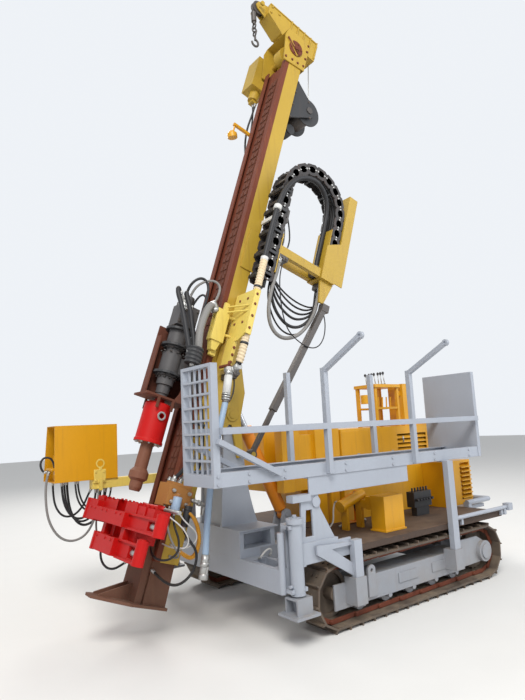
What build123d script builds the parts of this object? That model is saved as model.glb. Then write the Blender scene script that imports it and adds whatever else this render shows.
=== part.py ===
from build123d import *
from math import atan2, cos, degrees, hypot, pi, radians, sin
import os

# Compact crawler rig for drilling water wells, in millimetres.
# X runs from the front (mast) to the rear, Y to the far side (right-hand side), Z up.
# The origin is on the ground, under the middle of the running gear.

fit_gap = 0.3

# Running gear
track_mid_y = 885
shoe_width = 370
shoe_count = 40
shoe_thickness = 18
grouser_height = 25
grouser_thickness = 14
band_width = 150
band_thickness = 36
wheel_centre_x = 1050
wheel_axle_z = 275
loop_radius = 250
wheel_half_width = 35
idler_hub_radius = 46
roller_radius = 64
roller_places = [-730, -400, -70, 260, 590]
side_beam_width = 250
side_plate = 16
side_beam_front_x = -838
side_beam_rear_x = 725
side_beam_bottom_z = 150
side_beam_top_z = 352
hub_radius = 104
hub_outer_y = 1066
sprocket_teeth = 19
eye_x = -640
eye_z = 396
eye_radius = 46
eye_hole_radius = 14
eye_thickness = 22

# Centre frame and deck
rail_mid_y = 400
rail_width = 140
rail_bottom_z = 400
deck_top_z = 640
deck_plate = 12
deck_edge = 55
deck_front_x = -900
deck_rear_x = 1385
deck_half_width = 1070
deck_well_x = -560
deck_well_half_width = 170
cross_tube_places = [-700, 700]
cross_tube_height = 150
cross_tube_depth = 180
cross_tube_bottom_z = 215

# Front beam, base box and tower that carries the mast
front_x = -1613
front_beam_depth = 213
front_beam_bottom_z = 390
front_beam_top_z = 570
front_beam_half_width = 1000
base_box_rear_x = -1240
base_box_half_width = 470
base_box_top_z = 784
base_top_plate = 12
base_top_overhang = 15
tower_plate = 25
tower_outer_y = 190
pivot_x = -1474
pivot_z = 1783
pivot_pin_radius = 35
pivot_fit = 0.05
tower_boss_radius = 80

# Stabilising jacks
jack_x = -1495
jack_y = 1070
jack_tube_radius = 54
jack_tube_bottom_z = 382
jack_tube_top_z = 945
jack_wall = 8
jack_rod_radius = 38
jack_foot_size = 230
jack_foot_bottom_z = 234
jack_foot_plate = 20
jack_foot_top_z = 372

# Mast, drawn upright in its own frame and then leaned back about Y
mast_lean = 18.6
mast_base_x = -2421
mast_rear = 170
mast_half_width = 200
guide_depth = 50
guide_inner = 130
beam_bottom = 640
beam_top = 6090
beam_wall = 12
foot_bottom = 310
foot_plate = 22
foot_half_width = 200
foot_tip = -430
column_front = -110
column_half_width = 150
column_top = 850
chain_pitch = 100
chain_width = 90
chain_depth = 26
drill_axis = -305

# Mast head, jib and winch
head_plate = 14
head_overlap = 50
head_rise = 390
head_bottom = beam_top - head_overlap
head_top = beam_top + head_rise
jib_front = -365
jib_rear = 385
jib_depth = 270
jib_top = head_top + jib_depth
jib_half_width = 85
sheave_at = -467
sheave_drop = 110
sheave_height = jib_top - sheave_drop
sheave_radius = 80
sheave_half_width = 24
sheave_groove = 22
sheave_pin_radius = 18
rope_radius = 5
hook_drop = 513.4
lamp_offset = 26
winch_at = 434
winch_height = 5700
winch_flange_radius = 172
winch_core_radius = 110
winch_half_width = 130
winch_pin_radius = 22

# Cradle: cheeks at the mast's sides, which carry its pivot pin and the tilt cylinder's eye
cheek_plate = 25
lug_radius = 95
eye_at = 333
eye_height = 2275
eye_pin_radius = 25
eye_fit = 0.05
stay_y = -400
stay_end_at = 513
stay_end_height = 1672

# Tilt cylinder between the centre frame and the cradle
tilt_foot_x = -772
tilt_foot_z = 789
tilt_barrel_radius = 62
tilt_rod_radius = 38
tilt_barrel_length = 960
tilt_eye_width = 60
tilt_eye_radius = 46

# Rotary carriage, drive and spindle
slide_back = -55
slide_plate = 20
carriage_bottom = 1960
carriage_top = 2700
bracket_at = 70
bracket_near_y = -530
bracket_bottom = 2600
bracket_length = 500
drive_radius = 92
spindle_radius = 120
neck_radius = 44
neck_fit = 0.05
spindle_bottom = 1551
spindle_top = 1906
pipe_radius = 55
pipe_bottom = 1141
pipe_collar_radius = 82

# Breakout clamps, crosswise on the foot of the mast
clamp_front = -430
clamp_rear = -180
clamp_step = 50
clamp_end_radius = 46
clamp_cap = 40
clamp_bore_radius = 105
upper_clamp_low = 847
upper_clamp_high = 960
lower_clamp_low = 622
lower_clamp_high = 757

# Energy chain, its trough and stay, on the near side of the mast
loop_at = 600
loop_height = 4410
loop_outer_radius = 432
energy_depth = 130
energy_near_y = -430
energy_far_y = -215
energy_bottom = 3300
chain_plate = 12
chain_hose_radius = 15
chain_hose_count = 5
trough_gap = 8
trough_wall = 8
trough_bottom = 3640
trough_top = 4745

# Rod rack on the near side
rack_near_y = -1070
rack_inner_y = -617
rack_front_x = -2204
rack_rear_x = 1063
rack_bottom_z = 1240
rack_top_z = 1344
rack_rail_z = 1640
post_size = 46
post_places = [-1104, 0]
post_top_z = 2126
cage_depth = 60
cage_top_z = 2140
arm_reach = 420
arm_rise = 235
carrier_front_x = -1320
carrier_rear_x = -100
carrier_bottom_z = 1095
leg_y = -1078
leg_depth = 57
front_leg_x = -885
rear_leg_x = 465

# Hood, tanks and what stands on the deck
hood_front_x = -90
hood_rear_x = 1754
hood_near_y = -205
hood_far_y = 860
hood_top_z = 1591
hood_wall = 12
door_front_x = 150
door_rear_x = 900
door_bottom_z = 760
door_top_z = 1500
door_gap = 4
tank_top_z = 1622
tank_slot = 95
engine_front_x = 250
engine_rear_x = 1300
engine_near_y = 60
engine_far_y = 640
engine_top_z = 1330
cooler_near_y = -500
cooler_front_x = 1224
cooler_top_z = 1150

# Remote control box on its swinging arm
arm_pivot_x = -1330
arm_pivot_y = 900
arm_z = 1190
arm_size = 90
arm_front_x = -2403
arm_pin_radius = 30
box_front_x = -2763
box_rear_x = -2156
box_top_z = 1762

parts = {}


def block(x0, x1, y0, y1, z0, z1):
    """Box between three pairs of limits."""
    size = (abs(x1 - x0), abs(y1 - y0), abs(z1 - z0))
    return Pos((x0 + x1) / 2, (y0 + y1) / 2, (z0 + z1) / 2) * Box(*size)


def bar(start, end, radius):
    """Round bar between two points."""
    axis = Vector(*end) - Vector(*start)
    plane = Plane(origin=start, z_dir=axis)
    return plane * Cylinder(radius, axis.length, align=(Align.CENTER, Align.CENTER, Align.MIN))


def square_bar(start, end, width, depth):
    """Rectangular bar between two points, its width kept level where the bar slopes in the XZ plane."""
    axis = Vector(*end) - Vector(*start)
    side = Vector(0, 1, 0) if abs(axis.normalized().Y) < 0.9 else Vector(1, 0, 0)
    plane = Plane(origin=start, x_dir=side, z_dir=axis)
    return plane * Box(width, depth, axis.length, align=(Align.CENTER, Align.CENTER, Align.MIN))


def side_plate_solid(outline, y0, y1):
    """Plate with an outline of (x, z) points, between two values of Y."""
    face = make_face(Polyline(*[(x, y0, z) for x, z in outline], close=True))
    return extrude(face, amount=y1 - y0, dir=(0, 1, 0))


def front_plate_solid(outline, x0, x1):
    """Plate with an outline of (y, z) points, between two values of X."""
    face = make_face(Polyline(*[(x0, y, z) for y, z in outline], close=True))
    return extrude(face, amount=x1 - x0, dir=(1, 0, 0))


def flat_plate_solid(outline, z0, z1):
    """Plate with an outline of (x, y) points, between two heights."""
    face = make_face(Polyline(*[(x, y, z0) for x, y in outline], close=True))
    return extrude(face, amount=z1 - z0, dir=(0, 0, 1))


def cross_pin(x, z, y0, y1, radius):
    """Round pin or hole along Y."""
    return bar((x, y0, z), (x, y1, z), radius)


def fuse(first, *others):
    """One solid from several that meet."""
    for other in others:
        first = first + other
    return first


def far_side(solid):
    """The same piece on the machine's far side."""
    return mirror(solid, about=Plane.XZ)


def leaned(solid):
    """A piece of the upright mast, moved to where the leaned mast holds it."""
    return Pos(mast_base_x, 0, 0) * Rot(0, mast_lean, 0) * solid


def leaned_point(along, y, height):
    """A point of the upright mast, as the leaned mast has it."""
    lean = radians(mast_lean)
    x = mast_base_x + along * cos(lean) + height * sin(lean)
    return (x, y, height * cos(lean) - along * sin(lean))


def upright_point(x, z):
    """A point of the machine in the upright mast's frame: how far back, and how high."""
    lean = radians(mast_lean)
    along = (x - mast_base_x) * cos(lean) - z * sin(lean)
    return (along, (x - mast_base_x) * sin(lean) + z * cos(lean))


# Tracks: one loop of flat shoes with a grouser each, on a narrower band of links
def track_loop():
    straight = 2 * wheel_centre_x
    shoe_mid = loop_radius - shoe_thickness / 2
    round_length = pi * shoe_mid
    total = 2 * straight + 2 * round_length
    pitch = total / shoe_count
    shoes = Sketch()
    for number in range(shoe_count):
        run = (number + 0.5) * pitch
        if run < straight:
            x, z, turn = wheel_centre_x - run, -shoe_mid, 180
        elif run < straight + round_length:
            angle = (run - straight) / round_length * 180
            x = -wheel_centre_x - shoe_mid * sin(radians(angle))
            z, turn = -shoe_mid * cos(radians(angle)), 180 - angle
        elif run < 2 * straight + round_length:
            x, z, turn = -wheel_centre_x + run - straight - round_length, shoe_mid, 0
        else:
            angle = (run - 2 * straight - round_length) / round_length * 180
            x = wheel_centre_x + shoe_mid * sin(radians(angle))
            z, turn = shoe_mid * cos(radians(angle)), -angle
        plate = Rectangle(pitch + 4, shoe_thickness)
        lug = Pos(-pitch / 2 + grouser_thickness, shoe_thickness / 2 + grouser_height / 2)
        lug = lug * Rectangle(grouser_thickness, grouser_height)
        shoes += Pos(x, z) * Rot(0, 0, turn) * (plate + lug)
    band_radius = loop_radius - shoe_thickness + 2
    inner_radius = loop_radius - shoe_thickness - band_thickness
    band = SlotCenterToCenter(straight, 2 * band_radius) - SlotCenterToCenter(straight, 2 * inner_radius)
    shoe_solid = extrude(shoes, amount=shoe_width / 2, both=True)
    band_solid = extrude(band, amount=band_width / 2, both=True)
    loop = shoe_solid + band_solid
    return Pos(0, -track_mid_y, wheel_axle_z) * Rot(90, 0, 0) * loop


# Idler and toothed sprocket, which fill the two ends of the loop
def track_wheels():
    outer = loop_radius - shoe_thickness - band_thickness - fit_gap
    near, far = -track_mid_y - wheel_half_width, -track_mid_y + wheel_half_width
    reach = side_beam_width / 2 - side_plate - fit_gap
    idler = cross_pin(-wheel_centre_x, wheel_axle_z, near, far, outer)
    idler = idler - cross_pin(-wheel_centre_x, wheel_axle_z, near - 1, near + 20, outer - 34)
    idler = idler - cross_pin(-wheel_centre_x, wheel_axle_z, far - 20, far + 1, outer - 34)
    idler = idler + cross_pin(-wheel_centre_x, wheel_axle_z, -track_mid_y - reach, -track_mid_y + reach,
                              idler_hub_radius)
    sprocket = cross_pin(wheel_centre_x, wheel_axle_z, near + 10, far - 10, outer)
    for tooth in range(sprocket_teeth):
        angle = 2 * pi * tooth / sprocket_teeth
        x = wheel_centre_x + (outer + 10) * cos(angle)
        z = wheel_axle_z + (outer + 10) * sin(angle)
        sprocket = sprocket - cross_pin(x, z, near, far, 24)
    return [idler, sprocket]


# Track frame: hollow side beam with its rollers, the plates that hold idler and drive, and the drive
def track_frame():
    near = -track_mid_y - side_beam_width / 2
    far = -track_mid_y + side_beam_width / 2
    band_top = wheel_axle_z - (loop_radius - shoe_thickness - band_thickness)
    beam = block(side_beam_front_x, side_beam_rear_x, near, far, side_beam_bottom_z, side_beam_top_z)
    beam = beam - block(
        side_beam_front_x - 1, side_beam_rear_x + 1, near + side_plate, far - side_plate,
        side_beam_bottom_z - 1, side_beam_top_z - side_plate,
    )
    roller_z = band_top + fit_gap + roller_radius
    for x in roller_places:
        beam = beam + cross_pin(x, roller_z, -track_mid_y - 70, -track_mid_y + 70, roller_radius)
        beam = beam + cross_pin(x, roller_z, near + 1, far - 1, 24)
    for low, high in ((near, near + side_plate), (far - side_plate, far)):
        drive_plate = side_plate_solid(
            [(side_beam_rear_x - 40, side_beam_bottom_z + 20), (wheel_centre_x - 60, 175),
             (wheel_centre_x + 70, 200), (wheel_centre_x + 70, 350), (wheel_centre_x - 80, 430),
             (side_beam_rear_x - 40, 430)], low, high)
        idler_plate = side_plate_solid(
            [(side_beam_front_x + 40, side_beam_bottom_z), (-wheel_centre_x - 20, side_beam_bottom_z),
             (-wheel_centre_x - 20, side_beam_top_z), (side_beam_front_x + 40, side_beam_top_z)], low, high)
        beam = beam + drive_plate + idler_plate
    drive = cross_pin(wheel_centre_x, wheel_axle_z, -hub_outer_y + 14, near + 1, hub_radius)
    cover = cross_pin(wheel_centre_x, wheel_axle_z, -hub_outer_y, -hub_outer_y + 15, hub_radius - 30)
    shaft = cross_pin(wheel_centre_x, wheel_axle_z, near, -track_mid_y - 25 - fit_gap, 60)
    gearbox = cross_pin(wheel_centre_x, wheel_axle_z, -track_mid_y + 25 + fit_gap, far + 90, 88)
    eye = side_plate_solid(
        [(eye_x - eye_radius, side_beam_bottom_z + 30), (eye_x + eye_radius, side_beam_bottom_z + 30),
         (eye_x + eye_radius, eye_z), (eye_x - eye_radius, eye_z)], near - eye_thickness, near)
    eye = eye + cross_pin(eye_x, eye_z, near - eye_thickness, near, eye_radius)
    eye = eye - cross_pin(eye_x, eye_z, near - 30, near + 10, eye_hole_radius)
    pads = [block(x - 130, x + 130, near - 8, near, 215, 300) for x in (-150, 330)]
    return fuse(beam, drive, cover, shaft, gearbox, eye, *pads)


def leg_socket(x, bottom, top):
    """Socket on the outer side of a track frame, open at its top for a leg of the rack."""
    near = -track_mid_y - side_beam_width / 2
    outer = leg_y - leg_depth - 8
    socket = block(x - 62, x + 62, outer, near, bottom, top)
    return socket - block(x - 50, x + 50, outer + 7, leg_y + 1, bottom + 12, top + 1)


# Centre frame between the tracks: two rails on two cross tubes, and the members welded between the rails
def chassis_frame():
    half = rail_width / 2
    rail_front = front_x + front_beam_depth
    return [block(rail_front, deck_rear_x - 60, mid - half, mid + half, rail_bottom_z, deck_top_z - deck_plate)
            for mid in (-rail_mid_y, rail_mid_y)]


def cross_tubes():
    """Tubes from track frame to track frame, with a pedestal under each rail."""
    half = rail_width / 2
    inner = track_mid_y - side_beam_width / 2
    tubes = []
    for x in cross_tube_places:
        tube = block(x - cross_tube_depth / 2, x + cross_tube_depth / 2, -inner, inner,
                     cross_tube_bottom_z, cross_tube_bottom_z + cross_tube_height)
        for mid in (-rail_mid_y, rail_mid_y):
            tube = tube + block(x - 60, x + 60, mid - half, mid + half, cross_tube_bottom_z + 10, rail_bottom_z)
        tubes.append(tube)
    return tubes


def cross_members():
    """Member with the tilt cylinder's ears and pin, and the plain one at the rear."""
    reach = rail_mid_y - rail_width / 2
    brace = block(tilt_foot_x - 110, tilt_foot_x + 110, -reach, reach, 470, 610)
    rear = block(deck_rear_x - 190, deck_rear_x - 60, -reach, reach, 460, 590)
    ears = []
    for low, high in ((-75, -45), (45, 75)):
        ear = side_plate_solid([(tilt_foot_x - 100, 600), (tilt_foot_x + 100, 600), (tilt_foot_x + 52, tilt_foot_z),
                                (tilt_foot_x - 52, tilt_foot_z)], low, high)
        ears.append(ear + cross_pin(tilt_foot_x, tilt_foot_z, low, high, 52))
    pin = cross_pin(tilt_foot_x, tilt_foot_z, -84, 84, eye_pin_radius)
    return [fuse(brace, *ears, pin), rear]


def deck():
    low = deck_top_z - deck_edge
    plate_low = deck_top_z - deck_plate
    plate = block(deck_front_x, deck_rear_x, -deck_half_width, deck_half_width, plate_low, deck_top_z)
    plate = plate - block(deck_front_x - 1, deck_well_x, -deck_well_half_width, deck_well_half_width,
                          plate_low - 1, deck_top_z + 1)
    sides = []
    for side in (-1, 1):
        sides.append(block(deck_front_x, deck_rear_x, side * deck_half_width,
                           side * (deck_half_width - deck_plate), low, deck_top_z))
        inner, outer = side * (rail_mid_y + rail_width / 2 + 2), side * (deck_half_width - 2)
        for x in (deck_front_x, -250, 520, deck_rear_x - deck_plate):
            sides.append(block(x, x + deck_plate, inner, outer, low, deck_top_z - 2))
    return fuse(plate, *sides)


# Front beam right across the machine, with the clamps of the two jacks at its ends
def front_beam():
    rear_x = front_x + front_beam_depth
    beam = block(front_x, rear_x, -front_beam_half_width, front_beam_half_width, front_beam_bottom_z, front_beam_top_z)
    lug_top = jack_tube_top_z - 45
    for side in (-1, 1):
        inner, outer = side * (front_beam_half_width - 400), side * (front_beam_half_width - 110)
        beam = beam - block(front_x + 40, rear_x - 40, inner, outer, front_beam_bottom_z + 60, front_beam_top_z + 1)
        axis = (jack_x, side * jack_y)
        hole = bar((*axis, front_beam_bottom_z), (*axis, lug_top + 1), jack_tube_radius + fit_gap)
        for low, high in ((front_beam_bottom_z + 10, front_beam_bottom_z + 40), (lug_top - 30, lug_top)):
            lug = block(jack_x - 78, jack_x + 78, side * (front_beam_half_width - 1), side * (jack_y + 25), low, high)
            beam = beam + (lug - hole)
        post = block(jack_x - 40, jack_x + 40, side * (front_beam_half_width - 60), side * front_beam_half_width,
                     front_beam_top_z, lug_top)
        knee = front_plate_solid(
            [(side * (front_beam_half_width - 60), front_beam_top_z), (side * (front_beam_half_width - 60), 760),
             (side * (front_beam_half_width - 190), front_beam_top_z)], jack_x - 8, jack_x + 8)
        guide = bar((jack_x - 90, side * front_beam_half_width, front_beam_bottom_z),
                    (jack_x - 90, side * front_beam_half_width, lug_top - 60), 27)
        beam = beam + post + knee + guide
    return beam


# Base box and the two tower plates, whose bosses hold the mast's pivot pin
def tower():
    rail_top = deck_top_z - deck_plate
    rear_of_beam = front_x + front_beam_depth
    half = base_box_half_width
    box = block(front_x, base_box_rear_x, -half, half, front_beam_top_z, base_box_top_z)
    under = block(rear_of_beam, base_box_rear_x + 1, -half - 1, half + 1, front_beam_top_z - 1, rail_top)
    near_recess = block(front_x + 45, base_box_rear_x - 45, -half - 1, -half + 130, rail_top + 14, base_box_top_z - 20)
    box = box - under - near_recess - far_side(near_recess)
    top_z = base_box_top_z + base_top_plate
    reach = half + base_top_overhang
    top = block(front_x, base_box_rear_x + 30, -reach, reach, base_box_top_z, top_z)
    inner = tower_outer_y - tower_plate
    plates = []
    for low, high in ((-tower_outer_y, -inner), (inner, tower_outer_y)):
        plate = extrude(Pos(0, low, 0) * tower_outline(top_z), amount=high - low, dir=(0, 1, 0))
        plates.append(plate - cross_pin(pivot_x, pivot_z, low - 1, high + 1, pivot_pin_radius + pivot_fit))
    web = block(front_x + 34, front_x + 54, -inner, inner, top_z, 1420)
    rear_web = block(-1322, -1302, -inner, inner, top_z, 1040)
    return fuse(box, top, *plates, web, rear_web)


def tower_outline(low):
    """Outline of a tower plate in the plane Y = 0: leaning front edge, round boss and hollow rear edge."""
    radius = tower_boss_radius
    front = Line((front_x, 0, low), (front_x + 53, 0, 1500))
    shoulder = Line(front @ 1, (pivot_x - radius, 0, pivot_z))
    crown = ThreePointArc(shoulder @ 1, (pivot_x, 0, pivot_z + radius), (pivot_x + radius, 0, pivot_z))
    neck = Line(crown @ 1, (-1388, 0, 1580))
    back = Line(neck @ 1, (-1345, 0, 1440))
    skirt = ThreePointArc(back @ 1, (-1304, 0, 1100), (base_box_rear_x + 20, 0, low))
    base = Line(skirt @ 1, front @ 0)
    return make_face([front, shoulder, crown, neck, back, skirt, base])


# Jacks: fixed tube in the front beam's clamps, and a leg with a box foot that slides in it
def jack_tube(side):
    y = side * jack_y
    top = jack_tube_top_z
    tube = bar((jack_x, y, jack_tube_bottom_z), (jack_x, y, top), jack_tube_radius)
    bore = bar((jack_x, y, jack_tube_bottom_z - 1), (jack_x, y, top - 30), jack_tube_radius - jack_wall)
    collar = bar((jack_x, y, top - 40), (jack_x, y, top), jack_tube_radius + 14)
    ring = bar((jack_x, y, jack_tube_bottom_z), (jack_x, y, jack_tube_bottom_z + 8), jack_tube_radius + 5)
    port = bar((jack_x, y, top - 1), (jack_x, y, top + 26), 16)
    return fuse(tube, collar, ring, port) - bore


def jack_leg(side):
    y = side * jack_y
    rod = bar((jack_x, y, jack_foot_top_z - 5), (jack_x, y, jack_tube_top_z - 60), jack_rod_radius)
    guide_z = jack_tube_top_z - 75
    guide = bar((jack_x, y, guide_z - 45), (jack_x, y, guide_z), jack_tube_radius - jack_wall - 0.05)
    half = jack_foot_size / 2
    plate_top = jack_foot_bottom_z + jack_foot_plate
    sole = block(jack_x - half, jack_x + half, y - half, y + half, jack_foot_bottom_z, plate_top)
    cap = block(jack_x - 75, jack_x + 75, y - 75, y + 75, jack_foot_top_z - 16, jack_foot_top_z)
    ribs = [block(jack_x - 75, jack_x + 75, y + place - 8, y + place + 8, plate_top - 1, jack_foot_top_z - 15)
            for place in (-67, 67)]
    web = block(jack_x - 8, jack_x + 8, y - 75, y + 75, plate_top - 1, jack_foot_top_z - 15)
    return fuse(sole, cap, *ribs, web, rod, guide)


# Rod rack
def rack_support():
    """Channel under the rack on a trestle and two long legs that stand in the track frame's sockets."""
    near, far = rack_near_y, rack_near_y + 70
    top = rack_bottom_z
    channel = fuse(
        block(carrier_front_x, carrier_rear_x, near + 8, near + 20, carrier_bottom_z, top),
        block(carrier_front_x, carrier_rear_x, near + 8, far, top - 12, top),
        block(carrier_front_x, carrier_rear_x, near + 8, far, carrier_bottom_z, carrier_bottom_z + 12))
    cap = block(-1500, carrier_front_x + 10, near, far + 10, carrier_bottom_z - 40, carrier_bottom_z + 14)
    foot_top = deck_top_z + 100
    trestle = side_plate_solid(
        [(-1420, foot_top - 1), (-1400, carrier_bottom_z), (-1215, carrier_bottom_z), (-1205, 990),
         (-1062, foot_top - 1)], near + 20, near + 38)
    opening = side_plate_solid([(-1375, foot_top + 40), (-1355, 985), (-1290, 985), (-1290, foot_top + 40)],
                               near, near + 60)
    boss = cross_pin(-1250, 1040, near + 6, near + 60, 42)
    foot = block(-1425, -1045, near, near + 150, foot_top - 24, foot_top)
    rail = block(-1425, deck_front_x, near, near + 20, deck_top_z - 60, foot_top - 23)
    beam = block(-1425, -1398, near, front_beam_half_width * -1 + 190, front_beam_top_z, foot_top - 23)
    low_y = leg_y - leg_depth
    front_leg = block(front_leg_x - 45, front_leg_x + 45, low_y, leg_y, 200, deck_top_z + 60)
    knee = side_plate_solid(
        [(front_leg_x - 420, foot_top - 30), (front_leg_x - 420, deck_top_z), (front_leg_x - 44, 420),
         (front_leg_x - 44, 520), (front_leg_x - 260, deck_top_z + 20), (front_leg_x + 44, deck_top_z + 20),
         (front_leg_x + 44, foot_top - 60)], leg_y - 22, leg_y)
    tie = block(front_leg_x - 400, front_leg_x + 40, leg_y - 1, near + 1, deck_top_z + 22, deck_top_z + 54)
    rear_leg = block(rear_leg_x - 45, rear_leg_x + 45, low_y, leg_y, 222, top)
    hook = block(rear_leg_x - 45, rear_leg_x + 45, low_y, near + 60, top - 12, top)
    clip = block(rear_leg_x - 40, rear_leg_x + 40, leg_y - 1, near - 1, deck_top_z - 50, deck_top_z - 10)
    return fuse(channel, cap, trestle - opening, boss, foot, rail, beam, front_leg, knee, tie, rear_leg, hook, clip)


def rack_frame():
    """Two long channels joined by cross plates, which leave slots along the rack's floor."""
    near, inner = rack_near_y, rack_inner_y
    start = rack_front_x + cage_depth
    top = rack_top_z
    pieces = []
    for outer, back in ((near, near + 60), (inner, inner - 60)):
        web = outer + 8 if back > outer else outer - 8
        pieces.append(block(start, rack_rear_x, outer, web, rack_bottom_z, top))
        pieces.append(block(start, rack_rear_x, outer, back, rack_bottom_z, rack_bottom_z + 8))
        pieces.append(block(start, rack_rear_x, outer, back, top - 8, top))
    count = 9
    step = (rack_rear_x - start - 160) / (count - 1)
    for number in range(count):
        x = start + number * step
        pieces.append(block(x, x + 160, near + 2, inner - 2, top - 60, top - 52))
        pieces.append(block(x, x + 8, near + 2, inner - 2, rack_bottom_z + 6, top - 52))
    return fuse(pieces[0], *pieces[1:])


def rack_posts():
    """Near posts with their slanted arms, far posts, hand rails and the sloping braces of the cage."""
    size = post_size
    near, inner = rack_near_y - size, rack_inner_y
    rail_low, rail_high = rack_rail_z - 25, rack_rail_z + 25
    start = rack_front_x + cage_depth
    rails = [block(start, rack_rear_x, y, y + size, rail_low, rail_high) for y in (near, inner)]
    solids = []
    for rail, y in zip(rails, (near, inner)):
        rail_solid = rail
        for x in post_places:
            if y == near:
                post = block(x - size / 2, x + size / 2, y, y + size, rack_bottom_z + 12, post_top_z)
                tip = (x, y - arm_reach, post_top_z - 30 + arm_rise)
                arm = square_bar((x, y + size / 2, post_top_z - 25), tip, size - 6, size - 6)
                eye = bar((x - 14, tip[1], tip[2]), (x + 14, tip[1], tip[2]), 30)
                hole = bar((x - 30, tip[1], tip[2]), (x + 30, tip[1], tip[2]), 12)
                post = fuse(post, arm, eye) - hole
            else:
                post = block(x - size / 2, x + size / 2, y, y + size, rack_bottom_z + 12, post_top_z + 12)
            rail_solid = rail_solid + post
        brace = square_bar((start - 30, y + size / 2, rack_rail_z - 70),
                           (start + 520, y + size / 2, rack_top_z - 50), size, size - 6)
        solids.append(rail_solid)
        solids.append(brace)
    return solids


def rack_cage():
    """Grid of bars in a shallow frame at the rack's front end, where rods rest their ends."""
    x0, x1 = rack_front_x, rack_front_x + cage_depth
    y0, y1 = rack_near_y, rack_inner_y
    low, high = rack_bottom_z + 90, cage_top_z - 26
    cage = block(x0, x1, y0, y1, rack_bottom_z, cage_top_z) - block(x0 - 1, x1 + 1, y0 + 34, y1 - 34, low, high)
    rows, columns = 8, 4
    row_step = (high - low) / rows
    for number in range(1, rows):
        z = low + number * row_step
        cage = cage + block(x0, x0 + 40, y0 + 33, y1 - 33, z - 8, z + 8)
    column_step = (y1 - y0 - 68) / (columns + 1)
    for number in range(1, columns + 1):
        y = y0 + 34 + number * column_step
        cage = cage + block(x0 + 12, x0 + 26, y - 7, y + 7, low - 1, high + 1)
    return cage


def rack_end_panel():
    x = rack_rear_x
    panel = block(x, x + 6, rack_near_y, rack_inner_y + 170, rack_bottom_z, cage_top_z)
    rim = block(x, x + 50, rack_near_y - 6, rack_near_y, rack_bottom_z, cage_top_z)
    foot = block(x, x + 50, rack_near_y, rack_inner_y, rack_bottom_z, rack_bottom_z + 8)
    return fuse(panel, rim, foot)


# Hood over the engine: near side with a louvred opening, far side with a hinged door
def hood():
    near, far = hood_near_y, hood_far_y
    shell = block(hood_front_x, hood_rear_x, near, far, deck_top_z, hood_top_z)
    shell = shell - block(hood_front_x + hood_wall, hood_rear_x - hood_wall, near + hood_wall, far - hood_wall,
                          deck_top_z - 1, hood_top_z - hood_wall)
    shell = shell - block(door_front_x, door_rear_x, far - hood_wall - 1, far + 1, door_bottom_z, door_top_z)
    shell = shell - block(824, 1354, near - 1, near + hood_wall + 1, 1290, 1500)
    for z in range(1296, 1496, 50):
        shell = shell + louvre(820, 1358, near, z)
    side_panel = block(-80, 438, near - 2, near, 1200, 1570)
    rear_cap = block(hood_rear_x - 500, hood_rear_x - 40, near + 60, far - 60, hood_top_z, hood_top_z + 26)
    return fuse(shell, side_panel, rear_cap)


def louvre(x0, x1, y, z):
    """One blade that slopes inwards from its opening's lower edge."""
    return front_plate_solid([(y, z), (y, z + 10), (y + 38, z + 42), (y + 38, z + 34)], x0, x1)


def hood_door():
    far, gap = hood_far_y, door_gap
    door = block(door_front_x + gap, door_rear_x - gap, far - hood_wall, far, door_bottom_z + gap, door_top_z - gap)
    latch = block(door_rear_x - 130, door_rear_x - 70, far - 1, far + 14, 1120, 1160)
    hinges = [bar((door_front_x, far + 8, z), (door_front_x, far + 8, z + 90), 8) for z in (850, 1330)]
    leaves = [block(door_front_x, door_front_x + 60, far - 1, far + 8, z, z + 90) for z in (850, 1330)]
    return fuse(door, latch, *leaves, *hinges)


def engine_block():
    return block(engine_front_x, engine_rear_x, engine_near_y, engine_far_y, deck_top_z, engine_top_z)


def cooler():
    """Louvred cooler housing beside the hood's rear end."""
    near = cooler_near_y
    box = block(cooler_front_x, hood_rear_x, near, hood_near_y - 2, deck_top_z, cooler_top_z)
    box = box - block(1551, hood_rear_x - 20, near - 1, near + 60, deck_top_z + 60, cooler_top_z - 30)
    for z in range(710, 1100, 50):
        blade = front_plate_solid([(near + 59, z + 36), (near + 61, z + 42), (near - 24, z + 10), (near - 24, z)],
                                  1547, hood_rear_x - 16)
        box = box + blade
    return box


def tanks():
    """Two banks of tall tank sections ahead of the hood, with the tilt cylinder's slot between them."""
    near = hood_near_y
    solids = []
    for x0, x1, back in ((-897, -759, 0), (-759, -640, 34), (-459, -119, 0)):
        solids.append(block(x0, x1, near + back, -tank_slot, 1010, tank_top_z))
        solids.append(block(x0, x1, tank_slot, 560, 1010, tank_top_z))
    bridge = block(-641, -458, near + 40, -tank_slot, 1010, 1560)
    far_bridge = block(-641, -458, tank_slot, 540, 1010, 1560)
    legs = [block(x, x + 120, y0, y1, deck_top_z, 1011) for x in (-440, -260)
            for y0, y1 in ((near + 20, -tank_slot), (tank_slot, 500))]
    tie = block(-200, -119, -tank_slot - 1, tank_slot + 1, 1010, 1200)
    return fuse(solids[0], *solids[1:], bridge, far_bridge, *legs, tie)


def valve_box():
    """Yellow valve box at the deck's near edge, with the cylinder that lies over the deck behind it."""
    box = block(-289, -18, -914, -744, deck_top_z, 960)
    neck = block(-250, -60, -745, -640, 820, 940)
    foot = block(-300, -7, -925, -733, deck_top_z, deck_top_z + 14)
    barrel = bar((-470, -540, 868), (-180, -540, 955), 50)
    gland = bar((-495, -540, 860.5), (-465, -540, 869.5), 57)
    saddles = [block(x - 15, x + 15, -580, -500, deck_top_z, z) for x, z in ((-430, 850), (-230, 905))]
    link = block(-245, -215, -641, -520, deck_top_z + 190, deck_top_z + 265)
    return fuse(box, neck, foot, barrel, gland, *saddles, link)


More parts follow.
